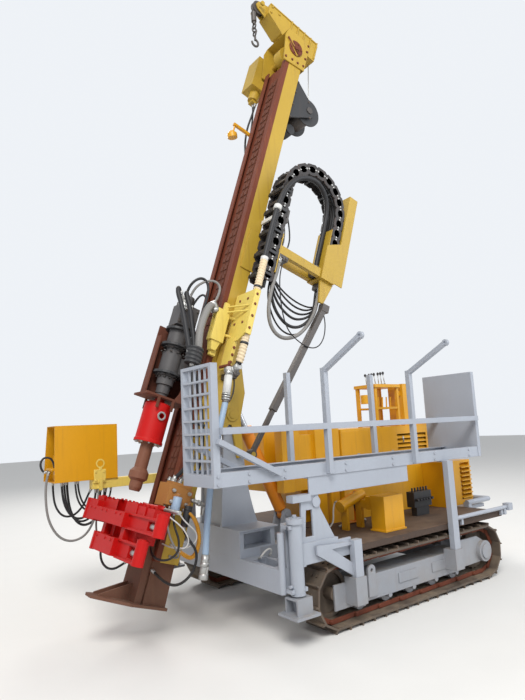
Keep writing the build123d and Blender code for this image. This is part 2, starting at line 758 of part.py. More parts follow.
def valve_block():
    """Stacked control valves on a plinth behind the valve box."""
    stack = block(540, 830, -600, -500, deck_top_z + 90, deck_top_z + 250)
    foot = block(580, 790, -590, -520, deck_top_z, deck_top_z + 91)
    for number in range(6):
        x = 565 + number * 48
        stack = stack + bar((x, -560, deck_top_z + 249), (x, -560, deck_top_z + 290), 10)
        stack = stack + bar((x, -599, deck_top_z + 170), (x, -640, deck_top_z + 170), 14)
    return stack + foot


def console():
    """Lever stand and gauge column on the hood's top."""
    floor = hood_top_z
    posts = [block(x - 18, x + 18, y - 18, y + 18, floor, 2050) for x in (560, 940) for y in (-150, 120)]
    table = block(530, 970, -185, 150, 2049, 2087)
    shelf = block(575, 925, -140, 110, 1800, 1816)
    rails = [block(540, 960, y - 12, y + 12, 1796, 1820) for y in (-150, 120)]
    column = block(1010, 1120, -185, 40, floor, 2093)
    bracket = block(950, 1011, -150, -110, 1950, 2010)
    lamp_stem = bar((420, -150, 1900), (545, -150, 1900), 10)
    lamp = bar((382, -150, 1860), (382, -150, 1960), 46)
    lamp_neck = bar((382, -150, 1900), (425, -150, 1900), 14)
    levers = [bar((590 + 70 * number, -100, 1815), (585 + 70 * number, -112, 1940), 8) for number in range(5)]
    return fuse(table, *posts, *rails, shelf, column, bracket, lamp_stem, lamp, lamp_neck, *levers)


def rear_bumper():
    """Round guard tube around the tail and the plate that carries the hood's end."""
    tail = block(deck_rear_x, hood_rear_x + 30, -620, 880, deck_top_z - 40, deck_top_z)
    rear = hood_rear_x + 60
    reach = 660
    tube = [bar((deck_rear_x, -reach, 690), (rear, -reach, 690), 28), bar((rear, -reach, 690), (rear, reach, 690), 28)]
    corner = Pos(rear, -reach, 690) * Sphere(28)
    ear = block(deck_rear_x, deck_rear_x + 60, -reach - 20, -reach + 45, deck_top_z - 42, 690)
    struts = [block(rear - 32, rear, y - 40, y + 40, deck_top_z - 40, 690) for y in (-400, 120, 620)]
    guard_y = -deck_half_width - 28
    guard = bar((rear_leg_x + 46, guard_y, 676), (deck_rear_x + 60, guard_y, 676), 20)
    clips = [block(x, x + 30, guard_y, -deck_half_width, 600, 672) for x in (620, 1340)]
    stub = block(deck_rear_x + 50, deck_rear_x + 130, guard_y - 34, guard_y + 34, 640, 712)
    arm = block(deck_rear_x, deck_rear_x + 40, guard_y, -619, deck_top_z - 40, deck_top_z - 8)
    post = block(deck_rear_x, deck_rear_x + 40, guard_y - 10, guard_y + 20, deck_top_z - 40, 672)
    return fuse(tail, *tube, corner, ear, *struts, arm, post, guard, *clips, stub)


# Mast, upright in its own frame
def mast_beam():
    half, wall = mast_half_width, beam_wall
    beam = block(0, mast_rear, -half, half, beam_bottom, beam_top)
    beam = beam - block(wall, mast_rear - wall, -half + wall, half - wall, beam_bottom - 1, beam_top + 1)
    return leaned(beam)


def mast_guides():
    """Two guide channels along the mast's front edges, with the chain's groove between them."""
    half, inner = mast_half_width, guide_inner
    pieces = []
    for side in (-1, 1):
        pieces.append(block(-guide_depth, -guide_depth + 14, side * half, side * inner, beam_bottom, beam_top))
        pieces.append(block(-guide_depth, 0, side * half, side * (half - 14), beam_bottom, beam_top))
        pieces.append(block(-12, 0, side * half, side * (inner - 60), beam_bottom, beam_top))
    floor = block(-6, 0, -inner + 59, inner - 59, beam_bottom, beam_top)
    return leaned(fuse(pieces[0], *pieces[1:], floor))


def feed_chain():
    """Feed chain in the groove: a strip whose outline steps in and out as its link plates overlap."""
    back, bottom, top = -6, beam_bottom + 60, beam_top - 120
    front = back - chain_depth
    count = int((top - bottom) / chain_pitch)
    outline = [(back, bottom)]
    for number in range(count):
        z = bottom + number * chain_pitch
        outline += [(front, z), (front, z + chain_pitch / 2), (front + 9, z + chain_pitch / 2),
                    (front + 9, z + chain_pitch)]
    outline.append((back, bottom + count * chain_pitch))
    strands = [side_plate_solid(outline, y0, y1) for y0, y1 in ((-56, -10), (10, 56))]
    bridge = block(back - 8, back, -11, 11, bottom, bottom + count * chain_pitch)
    return leaned(fuse(*strands, bridge))


def mast_foot():
    """Box column under the mast and the tongue-shaped foot plate."""
    half = column_half_width
    column = front_plate_solid([(-half - 14, foot_bottom), (half + 14, foot_bottom), (half, beam_bottom),
                                (-half, beam_bottom)], -40, mast_rear - 5)
    nose = front_plate_solid([(-half, foot_bottom), (half, foot_bottom), (half - 10, column_top),
                              (-half + 10, column_top)], column_front, -guide_depth - 2)
    join = block(-guide_depth - 3, -39, -half + 10, half - 10, foot_bottom, beam_bottom - 2)
    plate = flat_plate_solid(
        [(mast_rear + 2, -foot_half_width), (mast_rear + 2, foot_half_width), (-150, foot_half_width),
         (foot_tip, 80), (foot_tip, -40), (-150, -foot_half_width)], foot_bottom - foot_plate, foot_bottom)
    ribs = [side_plate_solid([(column_front + 1, foot_bottom - 1), (foot_tip + 60, foot_bottom - 1),
                              (foot_tip + 60, foot_bottom + 12), (column_front + 1, foot_bottom + 130)],
                             y - 8, y + 8) for y in (-30, 70)]
    foot = fuse(column, nose, join, plate, *ribs)
    return [leaned(foot), leaned(foot_valve())]


def foot_valve():
    """Valve block round the guides' near front corner over the upper clamp, with two upright accumulators."""
    face, side = -guide_depth, -mast_half_width
    front = block(face - 95, face, side - 60, -110, 1075, 1262)
    wing = side_plate_solid([(face - 95, 1088), (60, 1088), (88, 1150), (88, 1236), (face - 95, 1262)], side - 100, side)
    lid = block(face - 80, 70, side - 92, side, 1235, 1278)
    plug = cross_pin(-70, 1170, side - 124, side - 99, 24)
    accumulators = [bar((x, side - 128, low), (x, side - 128, high), radius)
                    for x, low, high, radius in ((-58, 1040, 1165, 36), (62, 950, 1120, 31))]
    necks = [bar((x, side - 128, high - 1), (x, side - 128, high + 24), 14) for x, high in ((-58, 1165), (62, 1120))]
    return fuse(front, wing, lid, plug, *accumulators, *necks)


def mast_head():
    """Two five-sided cheeks on the mast's sides, the adjuster slots and the return wheel between them."""
    half = mast_half_width
    outline = [(-140, head_top - 110), (-84, head_bottom), (206, head_bottom + 42), (205, head_top), (-115, head_top)]
    cheeks = [side_plate_solid(outline, low, high)
              for low, high in ((-half - head_plate, -half), (half, half + head_plate))]
    lid = block(-115, 205, -half - head_plate, half + head_plate, head_top - 12, head_top)
    back = block(193, 205, -half - 1, half + 1, head_bottom + 42, head_top)
    seat = block(2, mast_rear - 2, -half, half, beam_top, beam_top + 14)
    wheel_z = head_top - 200
    shaft = cross_pin(30, wheel_z, -half - head_plate - 13, half + head_plate + 13, 32)
    wheel = cross_pin(30, wheel_z, -60, 60, 110)
    slot = [(-95, head_top - 150), (60, head_top - 290), (86, head_top - 260), (-70, head_top - 118)]
    outer = half + head_plate
    slots = [side_plate_solid(slot, low, high) for low, high in ((-outer - 12, -outer), (outer, outer + 12))]
    return leaned(fuse(*cheeks, lid, back, seat, shaft, wheel, *slots))


def jib():
    """Tapered box beam across the head, ribbed over its rear half, with cheeks for the rope sheave."""
    half = jib_half_width
    outline = [(jib_rear, head_top), (jib_rear, jib_top - 30), (jib_rear - 30, jib_top), (jib_front, jib_top),
               (jib_front, jib_top - 150), (-140, head_top)]
    beam = side_plate_solid(outline, -half, half)
    ribs = [block(x, x + 14, -half - 10, half + 10, head_top + 40, jib_top + 8) for x in (-40, 60, 160, 260, 360)]
    flange = block(jib_front, jib_rear - 30, -half - 8, half + 8, jib_top - 14, jib_top)
    under = side_plate_solid([(jib_front, jib_top - 150), (-140, head_top), (-150, head_top + 16),
                              (jib_front, jib_top - 136)], -half - 8, half + 8)
    cheek = [(jib_front + 1, jib_top - 190), (jib_front + 1, jib_top - 20), (sheave_at - 30, jib_top - 52),
             (sheave_at - 50, sheave_height), (sheave_at - 20, sheave_height - 40)]
    inner = sheave_half_width + 6
    cheeks = [side_plate_solid(cheek, low, high) for low, high in ((-inner - 12, -inner), (inner, inner + 12))]
    pin = cross_pin(sheave_at, sheave_height, -inner - 20, inner + 20, sheave_pin_radius)
    bridge = block(jib_front, jib_front + 2, -inner - 12, inner + 12, jib_top - 189, jib_top - 21)
    return leaned(fuse(beam, *ribs, flange, under, *cheeks, pin))


def jib_sheave():
    """Grooved sheave on the jib's front pin."""
    half, rim = sheave_half_width, sheave_radius
    bore = sheave_pin_radius + 0.05
    floor = rim - sheave_groove
    profile = [(bore, -half), (rim, -half), (rim, -half + 8), (floor, -6), (floor, 6), (rim, half - 8),
               (rim, half), (bore, half)]
    face = make_face(Polyline(*[(radius, along, 0) for radius, along in profile], close=True))
    return leaned(Pos(sheave_at, 0, sheave_height) * revolve(face, axis=Axis.Y))


def hook():
    """Rope over the sheave, and on its end a swivel, two links, a shackle and the hook, which hang plumb."""
    centre = leaned_point(sheave_at, 0, sheave_height)
    reach = sheave_radius - sheave_groove + rope_radius + fit_gap
    x = centre[0] - reach
    low = centre[2] - hook_drop
    lean = radians(mast_lean)
    top = leaned_point(sheave_at, 0, sheave_height + reach)
    middle = pi / 2 + (pi / 2 - lean) / 2
    crown = (centre[0] + reach * cos(middle), 0, centre[2] + reach * sin(middle))
    hanging = Line((x, 0, low + 435), (x, 0, centre[2]))
    over = ThreePointArc(hanging @ 1, crown, top)
    along = Line(over @ 1, leaned_point(jib_front, 0, sheave_height + reach))
    rope = sweep(Plane(origin=(x, 0, low + 435), z_dir=(0, 0, 1)) * Circle(rope_radius), path=Wire([hanging, over, along]))
    swivel = bar((x, 0, low + 320), (x, 0, low + 436), 30)
    shoulder = bar((x, 0, low + 290), (x, 0, low + 321), 18)
    links = [Pos(x, 0, low + 262) * Rot(0, 90, 0) * Torus(28, 9), Pos(x, 0, low + 212) * Rot(90, 0, 0) * Torus(28, 9)]
    shackle = Pos(x, 0, low + 166) * Rot(0, 90, 0) * Torus(26, 9)
    bend = Pos(x, 0, low + 54) * Rot(90, 0, 0) * Torus(42, 12)
    bend = bend - block(x - 80, x - 4, -20, 20, low + 56, low + 120)
    shank = bar((x + 4, 0, low + 84), (x + 4, 0, low + 145), 12)
    return fuse(rope, swivel, shoulder, *links, shackle, bend, shank)


def feed_motor():
    """Chain feed motor in its plate box on the far side of the head."""
    inner = mast_half_width + head_plate + 14
    outer, low = inner + 222, head_bottom - 140
    mid = (inner + outer) / 2 - 9
    box = block(-180, 50, inner, outer, low, low + 430)
    box = box - block(-166, 36, inner + 30, outer + 1, low + 20, low + 416)
    motor = bar((-65, mid, low - 120), (-65, mid, low + 360), 62)
    port = block(-95, -35, mid - 40, mid + 40, low - 160, low - 110)
    foot = block(-40, 45, mast_half_width, inner + 1, low + 10, low + 130)
    return leaned(fuse(box, motor, port, foot))


def winch_frame():
    outer = winch_half_width + 34
    plates = []
    for low, high in ((-outer, -outer + 16), (outer - 16, outer)):
        plate = side_plate_solid(
            [(mast_rear, winch_height - 280), (mast_rear, winch_height + 280), (winch_at + 50, winch_height + 70),
             (winch_at + 60, winch_height - 60)], low, high)
        plates.append(plate - cross_pin(winch_at, winch_height, low - 1, high + 1, winch_pin_radius + 0.05))
    base = block(mast_rear, mast_rear + 14, -outer, outer, winch_height - 390, winch_height + 300)
    motor_z = winch_height - 310
    motor = bar((mast_rear + 130, -70, motor_z), (mast_rear + 130, 70, motor_z), 60)
    shelf = block(mast_rear + 13, mast_rear + 150, -60, 60, motor_z - 70, motor_z - 45)
    return leaned(fuse(base, *plates, motor, shelf))


def winch_drum():
    """Drum with two flanges and a wound layer of rope, on its own shaft."""
    width, pin, rim, core = winch_half_width, winch_pin_radius, winch_flange_radius, winch_core_radius
    profile = [(0, -width - 36), (pin, -width - 36), (pin, -width), (rim, -width), (rim, -width + 12),
               (core, -width + 12), (core, width - 12), (rim, width - 12), (rim, width), (pin, width),
               (pin, width + 36), (0, width + 36)]
    face = make_face(Polyline(*[(radius, along, 0) for radius, along in profile], close=True))
    return leaned(Pos(winch_at, 0, winch_height) * revolve(face, axis=Axis.Y))


def work_lamp():
    """Lamp on a short arm at the mast's far front edge."""
    inner = mast_half_width
    foot = block(4, 60, inner, inner + lamp_offset + 30, 5225, 5275)
    arm = block(-255, 30, inner + lamp_offset, inner + lamp_offset + 30, 5235, 5265)
    lamp_y = inner + lamp_offset + 15
    stem = bar((-235, lamp_y, 5150), (-235, lamp_y, 5236), 9)
    bowl = make_face(Polyline((0, 0, 46), (24, 0, 46), (55, 0, 14), (55, 0, -34), (0, 0, -34), close=True))
    lamp = Pos(-235, lamp_y, 5108) * Rot(0, -25, 0) * revolve(bowl, axis=Axis.Z)
    return leaned(fuse(foot, arm, stem, lamp))


# Cradle: cheeks at the mast's sides, tied behind it, with the ears of the tilt cylinder's rod
def mast_cradle():
    inner, outer = mast_half_width, mast_half_width + cheek_plate
    pivot_at, pivot_height = upright_point(pivot_x, pivot_z)
    common = [(40, pivot_height - 452), (160, pivot_height - 492), (pivot_at - 10, pivot_height - lug_radius),
              (pivot_at + 85, pivot_height - 45), (pivot_at + 95, pivot_height + 10),
              (pivot_at + 80, pivot_height + 238), (mast_rear + 74, pivot_height + 613),
              (mast_rear + 129, pivot_height + 1259), (82, pivot_height + 1104), (70, pivot_height + 608),
              (40, pivot_height + 568)]
    solids = []
    for low, high in ((-outer, -inner), (inner, outer)):
        plate = side_plate_solid(common, low, high)
        boss = cross_pin(pivot_at, pivot_height, low, high, lug_radius)
        solids.append(plate + boss)
    pin = cross_pin(pivot_at, pivot_height, -outer - 12, outer + 12, pivot_pin_radius)
    rear = block(mast_rear, mast_rear + 16, -inner, inner, pivot_height - 292, pivot_height + 1068)
    ears = []
    for low, high in ((-74, -42), (42, 74)):
        ear = side_plate_solid([(mast_rear + 15, eye_height - 95), (eye_at, eye_height - tilt_eye_radius),
                                (eye_at, eye_height + tilt_eye_radius), (mast_rear + 15, eye_height + 185)], low, high)
        ears.append(ear + cross_pin(eye_at, eye_height, low, high, tilt_eye_radius))
    ends = [cross_pin(eye_at, eye_height, low, high, eye_pin_radius) for low, high in ((-84, -43), (43, 84))]
    arm = side_plate_solid(
        [(pivot_at + 20, pivot_height - 90), (stay_end_at - 20, stay_end_height - 44),
         (stay_end_at + 44, stay_end_height - 10), (stay_end_at + 20, stay_end_height + 40),
         (pivot_at + 85, pivot_height + 30)], -outer, -inner)
    stud = cross_pin(stay_end_at, stay_end_height, stay_y - 40, -inner - 1, 22)
    washer = cross_pin(pivot_at, pivot_height, -outer - 8, -outer, 62)
    return leaned(fuse(solids[0], *solids[1:], pin, rear, *ears, *ends, arm, stud, washer))


# Tilt cylinder: barrel on the centre frame's ears, rod on the cradle's ears
def tilt_axis():
    eye = leaned_point(eye_at, 0, eye_height)
    length = hypot(eye[0] - tilt_foot_x, eye[2] - tilt_foot_z)
    return eye, length, ((eye[0] - tilt_foot_x) / length, 0, (eye[2] - tilt_foot_z) / length)


def along_tilt(distance):
    axis = tilt_axis()[2]
    return (tilt_foot_x + axis[0] * distance, 0, tilt_foot_z + axis[2] * distance)


def tilt_barrel():
    end = tilt_barrel_length
    barrel = bar(along_tilt(60), along_tilt(end), tilt_barrel_radius)
    bore = bar(along_tilt(90), along_tilt(end + 1), tilt_rod_radius + 0.05)
    gland = bar(along_tilt(end - 60), along_tilt(end), tilt_barrel_radius + 10)
    eye = cross_pin(tilt_foot_x, tilt_foot_z, -tilt_eye_width / 2, tilt_eye_width / 2, 52)
    hole = cross_pin(tilt_foot_x, tilt_foot_z, -60, 60, eye_pin_radius + eye_fit)
    neck = bar(along_tilt(20), along_tilt(75), 29)
    return fuse(barrel, gland, eye, neck) - bore - hole


def tilt_rod():
    eye_place, length, axis = tilt_axis()
    rod = bar(along_tilt(420), along_tilt(length - 30), tilt_rod_radius)
    eye = cross_pin(eye_place[0], eye_place[2], -tilt_eye_width / 2, tilt_eye_width / 2, tilt_eye_radius)
    pin = cross_pin(eye_place[0], eye_place[2], -41.5, 41.5, eye_pin_radius)
    return fuse(rod, eye, pin)


# Energy chain and its trough, arms and stay
def chain_point(run, offset):
    """A point beside the chain's middle line: how far along it from its lower end, and how far outwards."""
    radius = loop_outer_radius - energy_depth / 2
    left, arc = loop_height - energy_bottom, pi * radius
    if run < left:
        return (loop_at - radius - offset, energy_bottom + run)
    if run < left + arc:
        angle = (run - left) / radius
        return (loop_at - (radius + offset) * cos(angle), loop_height + (radius + offset) * sin(angle))
    return (loop_at + radius + offset, loop_height - (run - left - arc))


def chain_runs():
    """Where the links begin and end along the chain: even links on each straight and on the loop."""
    radius = loop_outer_radius - energy_depth / 2
    stretches = [(loop_height - energy_bottom, 9), (pi * radius, 9), (loop_height - trough_bottom - 20, 6)]
    runs, start = [0], 0
    for length, count in stretches:
        runs += [start + length * (number + 1) / count for number in range(count)]
        start += length
    return runs


def energy_chain():
    """Links up the mast's near side, over the loop and down into the trough: two strips of plates and their bars."""
    wide, narrow = energy_depth / 2, energy_depth / 2 - 17
    runs = chain_runs()
    outer, inner, bars = [], [], []
    for start, end in zip(runs, runs[1:]):
        length = end - start
        for share, offset in ((0.02, narrow), (0.16, wide), (0.84, wide)):
            outer.append(chain_point(start + share * length, offset))
            inner.append(chain_point(start + share * length, -offset))
        corners = [chain_point(start + length * share, offset)
                   for share, offset in ((0.36, chain_hose_radius + fit_gap + 0.8), (0.64, chain_hose_radius + fit_gap + 0.8),
                                         (0.64, narrow - 4), (0.36, narrow - 4))]
        bars.append(side_plate_solid(corners, energy_near_y + 1, energy_far_y - 1))
    outline = outer + inner[::-1]
    strips = [side_plate_solid(outline, low, high) for low, high in (
        (energy_near_y, energy_near_y + chain_plate), (energy_far_y - chain_plate, energy_far_y))]
    return leaned(fuse(strips[0], strips[1], *bars))


def chain_hoses():
    """Hoses inside the chain, from under its lower end to the foot of the trough."""
    radius = loop_outer_radius - energy_depth / 2
    low, high, end = energy_bottom - 70, loop_height, trough_bottom + 22
    span = energy_far_y - energy_near_y - 2 * chain_plate
    hoses = []
    for number in range(chain_hose_count):
        y = energy_near_y + chain_plate + span * (number + 0.5) / chain_hose_count
        left = bar((loop_at - radius, y, low), (loop_at - radius, y, high), chain_hose_radius)
        right = bar((loop_at + radius, y, end), (loop_at + radius, y, high), chain_hose_radius)
        section = Plane(origin=(loop_at - radius, y, high), z_dir=(0, 0, 1)) * Circle(chain_hose_radius)
        over = revolve(section, axis=Axis((loop_at, y, high), (0, 1, 0)), revolution_arc=180)
        hoses.append(leaned(fuse(left, over, right)))
    return hoses


def hose_trough():
    """Trough at the chain's fixed end, the two arms that carry it and their bracket on the mast."""
    wall, gap = trough_wall, trough_gap
    chain_front = loop_at + loop_outer_radius - energy_depth
    back = loop_at + loop_outer_radius + gap
    y0, y1 = energy_near_y - gap, energy_far_y - 1
    floor = block(back, back + wall, y0 - wall, y1, trough_bottom, trough_top)
    lip = block(back, back + 120, y0 - wall, y0, trough_bottom, trough_top)
    far_lip = block(back, back + 60, y1 - wall, y1, trough_bottom, trough_top - 60)
    near = side_plate_solid([(chain_front - 40, trough_bottom), (back + 1, trough_bottom), (back + 1, 4120),
                             (chain_front - 40, 4020)], y0 - wall, y0)
    inner = block(chain_front - gap - wall, chain_front - gap, y0 - 1, y1, trough_bottom, 4230)
    foot = block(chain_front - 40, back + wall, y0 - wall, y1, trough_bottom - 12, trough_bottom)
    bracket = side_plate_solid([(chain_front - 20, trough_bottom - 11), (back + 20, trough_bottom - 11),
                                (back - 60, 3380), (chain_front + 20, 3380)], stay_y - 12, stay_y + 12)
    branch_rear = loop_at - loop_outer_radius + energy_depth
    plate = block(branch_rear, branch_rear + 12, energy_near_y, -mast_half_width, 3420, 3860)
    side = block(40, branch_rear + 12, -mast_half_width - 12, -mast_half_width, 3420, 3860)
    arms = [block(branch_rear + 11, chain_front - gap - wall + 1, y - 28, y + 28, 3640, 3730) for y in (-400, -248)]
    return leaned(fuse(floor, lip, far_lip, near, inner, foot, bracket, plate, side, *arms))


def trough_stay():
    """Square tube from the trough's bracket down to the cradle, its lower end a thinner tube."""
    top = (1000, stay_y, 3330)
    knee = (640, stay_y, 2120)
    end = (stay_end_at, stay_y, stay_end_height)
    tube = square_bar(top, knee, 60, 60)
    slim = square_bar(knee, end, 40, 40)
    cap = block(965, 1055, stay_y - 34, stay_y + 34, 3300, 3379)
    eye = cross_pin(stay_end_at, stay_end_height, stay_y - 30, stay_y + 30, 42)
    hole = cross_pin(stay_end_at, stay_end_height, stay_y - 31, stay_y + 31, 22.3)
    return leaned(fuse(tube, slim, cap, eye) - hole)


# Rotary carriage, hydraulic drive and spindle
def carriage():
    """Slide plate with guide shoes, far side channel, near rib and the plate under the drive."""
    back = slide_back
    low, high = carriage_bottom, carriage_top
    slide = block(back - slide_plate, back, -175, 175, low + 30, high)
    shoes = [block(back - 1, back + 4.7, side * 132, side * 175, z, z + 160)
             for side in (-1, 1) for z in (low + 60, high - 220)]
    keepers = [fuse(block(back - slide_plate, back, side * 170, side * 217, z, z + 160),
                    block(back - 1, -14, side * 203, side * 217, z, z + 160))
               for side in (-1, 1) for z in (low + 60, high - 220)]
    front = -450
    web = block(front, back - slide_plate + 1, 124, 140, low, high - 60)
    flange = block(front, front + 14, 40, 140, low, high - 170)
    rib = side_plate_solid([(back - slide_plate + 1, low), (-230, low), (-200, low + 60), (-150, low + 420),
                            (back - slide_plate + 1, low + 560)], -140, -124)
    floor = block(front - 50, back - slide_plate, -140, 140, low - 18, low)
    floor = floor - bar((drill_axis, 0, low - 20), (drill_axis, 0, low + 5), 52.5)
    hangers = [block(drill_axis + place - 12, drill_axis + place + 12, side * 128, side * 140, low - 110, low - 17)
               for place in (-70, 70) for side in (-1, 1)]
    return leaned(fuse(slide, *shoes, *keepers, web, flange, rib, floor, *hangers))


def chain_bracket():
    """Guide block on the carriage's near keepers, two rods, and the flanged plate in front of the chain's hoses."""
    side, top = -mast_half_width - 17, bracket_bottom + bracket_length
    guide = block(-125, 8, side - 82, side, carriage_bottom + 610, carriage_bottom + 920)
    guide = guide - block(-126, -20, side - 60, side - 20, carriage_bottom + 690, carriage_bottom + 860)
    skirt = side_plate_solid([(-110, carriage_bottom + 612), (-10, carriage_bottom + 612), (-40, carriage_bottom + 520),
                              (-90, carriage_bottom + 520)], side - 70, side)
    link = block(-75, -15, side - 40, side, carriage_bottom + 478, carriage_bottom + 530)
    plate = front_plate_solid([(side - 16, top), (bracket_near_y, top), (bracket_near_y, bracket_bottom + 60),
                               (bracket_near_y + 90, bracket_bottom), (side - 40, bracket_bottom)],
                              bracket_at, bracket_at + 12)
    flange = block(bracket_at, bracket_at + 62, bracket_near_y - 10, bracket_near_y + 1, bracket_bottom + 60, top + 6)
    rods = [bar((-30, side - 60, z), (bracket_at + 6, bracket_near_y + 30, z + 22), 9)
            for z in (top - 230, top - 175)]
    arms = [bar((0, side - 50, z), (bracket_at + 6, side - 70, z), 13) for z in (bracket_bottom + 60, bracket_bottom + 240)]
    riser = block(-60, -12, side - 75, side - 45, carriage_bottom + 919, top - 140)
    tail = block(bracket_at - 8, bracket_at + 30, side - 175, side - 45, bracket_bottom - 270, bracket_bottom + 40)
    return leaned(fuse(guide, skirt, link, plate, flange, riser, *rods, *arms, tail))


def drive_head():
    """Stack of the gearbox, collars and motor of the rotary drive."""
    low = carriage_bottom
    stages = [(-16, 41, 52), (40, 121, 60), (120, 201, 76), (200, 421, drive_radius), (420, 471, 70),
              (470, 641, drive_radius - 4), (640, 701, 78)]
    solids = [bar((drill_axis, 0, low + start), (drill_axis, 0, low + end), radius) for start, end, radius in stages]
    head = block(drill_axis - 85, drill_axis + 105, -90, 90, low + 690, low + 900)
    motor = bar((drill_axis - 20, -40, low + 890), (drill_axis - 20, -40, low + 985), 60)
    front = slide_back - slide_plate
    saddles = [block(drill_axis + 60, front, -60, 60, low + z0, low + z1) for z0, z1 in ((240, 400), (500, 620))]
    bore = bar((drill_axis, 0, low - 17), (drill_axis, 0, low + 30), neck_radius + neck_fit)
    return leaned(fuse(*solids, head, motor, *saddles) - bore)


def spindle():
    """Drive barrel with its port and flange, and the drill pipe under it."""
    top, radius, pipe = spindle_top, spindle_radius, pipe_radius
    neck_top = carriage_bottom + 28
    profile = [(0, pipe_bottom), (pipe - 12, pipe_bottom), (pipe, pipe_bottom + 30), (pipe, 1225),
               (pipe_collar_radius, 1245), (pipe_collar_radius, 1300), (pipe, 1335), (pipe, spindle_bottom),
               (radius + 6, spindle_bottom), (radius + 6, spindle_bottom + 22), (radius, spindle_bottom + 30),
               (radius, top - 18), (radius - 10, top), (neck_radius, top),
               (neck_radius, neck_top), (0, neck_top)]
    face = make_face(Polyline(*[(reach, 0, z) for reach, z in profile], close=True))
    body = revolve(face, axis=Axis.Z)
    port = bar((0, -radius - 8, 1790), (0, -60, 1790), 34)
    hole = bar((0, -radius - 20, 1790), (0, -70, 1790), 24)
    return leaned(Pos(drill_axis, 0, 0) * (body + port - hole))


# Breakout clamps
def clamp(low, high, near_y, step_y, far_y):
    """Cast body: proud middle, set-back near arm with a window, and the round end of its cylinder."""
    front, rear, arm_front = clamp_front, clamp_rear, clamp_front + clamp_step
    housing_x = front + clamp_step + 10
    plan = [(front, far_y), (front, step_y), (arm_front, step_y), (arm_front, near_y), (housing_x + 30, near_y),
            (rear - 90, near_y + 130), (rear, near_y + 330), (rear, far_y - 190), (rear - 60, far_y)]
    body = flat_plate_solid(plan, low, high)
    for z in (low - 6, high - 12):
        lip = flat_plate_solid([(arm_front - 14, step_y + 1), (arm_front - 14, near_y), (arm_front + 40, near_y),
                                (arm_front + 40, step_y + 1)], z, z + 18)
        body = body + lip
    window = block(arm_front - 20, rear + 1, near_y + 62, near_y + 190, low + 24, high - 24)
    housing = bar((housing_x, near_y, low - 8), (housing_x, near_y, high + clamp_cap), clamp_end_radius)
    cap = bar((housing_x, near_y, high + clamp_cap - 1), (housing_x, near_y, high + clamp_cap + 8), clamp_end_radius - 14)
    ram = bar((housing_x + 34, near_y + 5, (low + high) / 2), (housing_x + 34, near_y + 192, (low + high) / 2), 17)
    nut = bar((housing_x + 34, near_y + 100, (low + high) / 2), (housing_x + 34, near_y + 130, (low + high) / 2), 26)
    bore = bar((drill_axis, 0, low - 1), (drill_axis, 0, high + 120), clamp_bore_radius)
    return fuse(body - window, housing, cap, ram, nut), bore


def clamp_upper():
    """Upper clamp with its stepped jaw blocks and cross cylinder, seated on the foot column's nose."""
    low, high = upper_clamp_low, upper_clamp_high
    body, bore = clamp(low, high, -775, -230, 640)
    far_end = block(clamp_front, -250, 400, 640, low - 12, high + 50)
    far_cap = block(clamp_front - 8, -256, 616, 648, low - 16, high + 54)
    jaws = [block(x0, x1, y0, y1, high - 1, high + rise) for y0, y1, x0, x1, rise in (
        (410, 548, -385, -255, 90), (118, 372, -372, -240, 78), (-22, 119, -384, -236, 92),
        (-196, -30, -372, -240, 84), (-330, -197, -384, -236, 86), (-470, -338, -376, -244, 72))]
    ledge = block(-372, -240, -471, 411, high - 1, high + 52)
    saddle = block(-366, -232, -610, -480, high - 1, high + 66) - block(-352, -231, -596, -494, high + 14, high + 67)
    seat = block(clamp_rear - 1, -guide_depth, -120, 120, low + 20, high + 30)
    seat = seat + block(clamp_rear - 60, clamp_rear, -120, 120, high - 1, high + 30)
    barrel = bar((-205, -380, high + 80), (-205, -60, high + 80), 25)
    rod = bar((-205, -690, high + 80), (-205, -379, high + 80), 15)
    feet = [block(-236, -176, y, y + 16, high - 1, high + 108) for y in (-382, -76)]
    solid = fuse(body, far_end, far_cap, ledge, *jaws, saddle, seat, barrel, rod, *feet) - bore
    return leaned(solid)


def clamp_lower():
    """Lower clamp and the block that holds the upper one over it."""
    low, high = lower_clamp_low, lower_clamp_high
    body, bore = clamp(low, high, -565, -165, 262)
    far_cap = block(clamp_front - 8, -250, 240, 270, low - 6, high + 6)
    seat = block(clamp_rear - 1, column_front, -110, 110, low + 25, high)
    spacer = block(clamp_front + 95, clamp_rear + 20, -330, 170, high - 1, upper_clamp_low)
    pillar = block(clamp_front + 40, clamp_front + 96, -224, -160, high - 1, upper_clamp_low)
    lug = block(clamp_front + 50, clamp_front + 180, 200, 262, high - 1, upper_clamp_low)
    solid = fuse(body, far_cap, seat, spacer, pillar, lug) - bore
    return leaned(solid)


# Remote control box on its arm
def control_arm():
    size = arm_size / 2
    y, z, x = arm_pivot_y, arm_z, arm_pivot_x
    beam = block(arm_front_x, x, y - size, y + size, z - size, z + size)
    hub = bar((x, y, z - 70), (x, y, z + 70), 62)
    hole = bar((x, y, z - 71), (x, y, z + 71), arm_pin_radius + 0.05)
    stop = block(arm_front_x + 60, arm_front_x + 90, y - size - 30, y - size + 1, z - 60, z + size)
    return fuse(beam, hub, stop) - hole


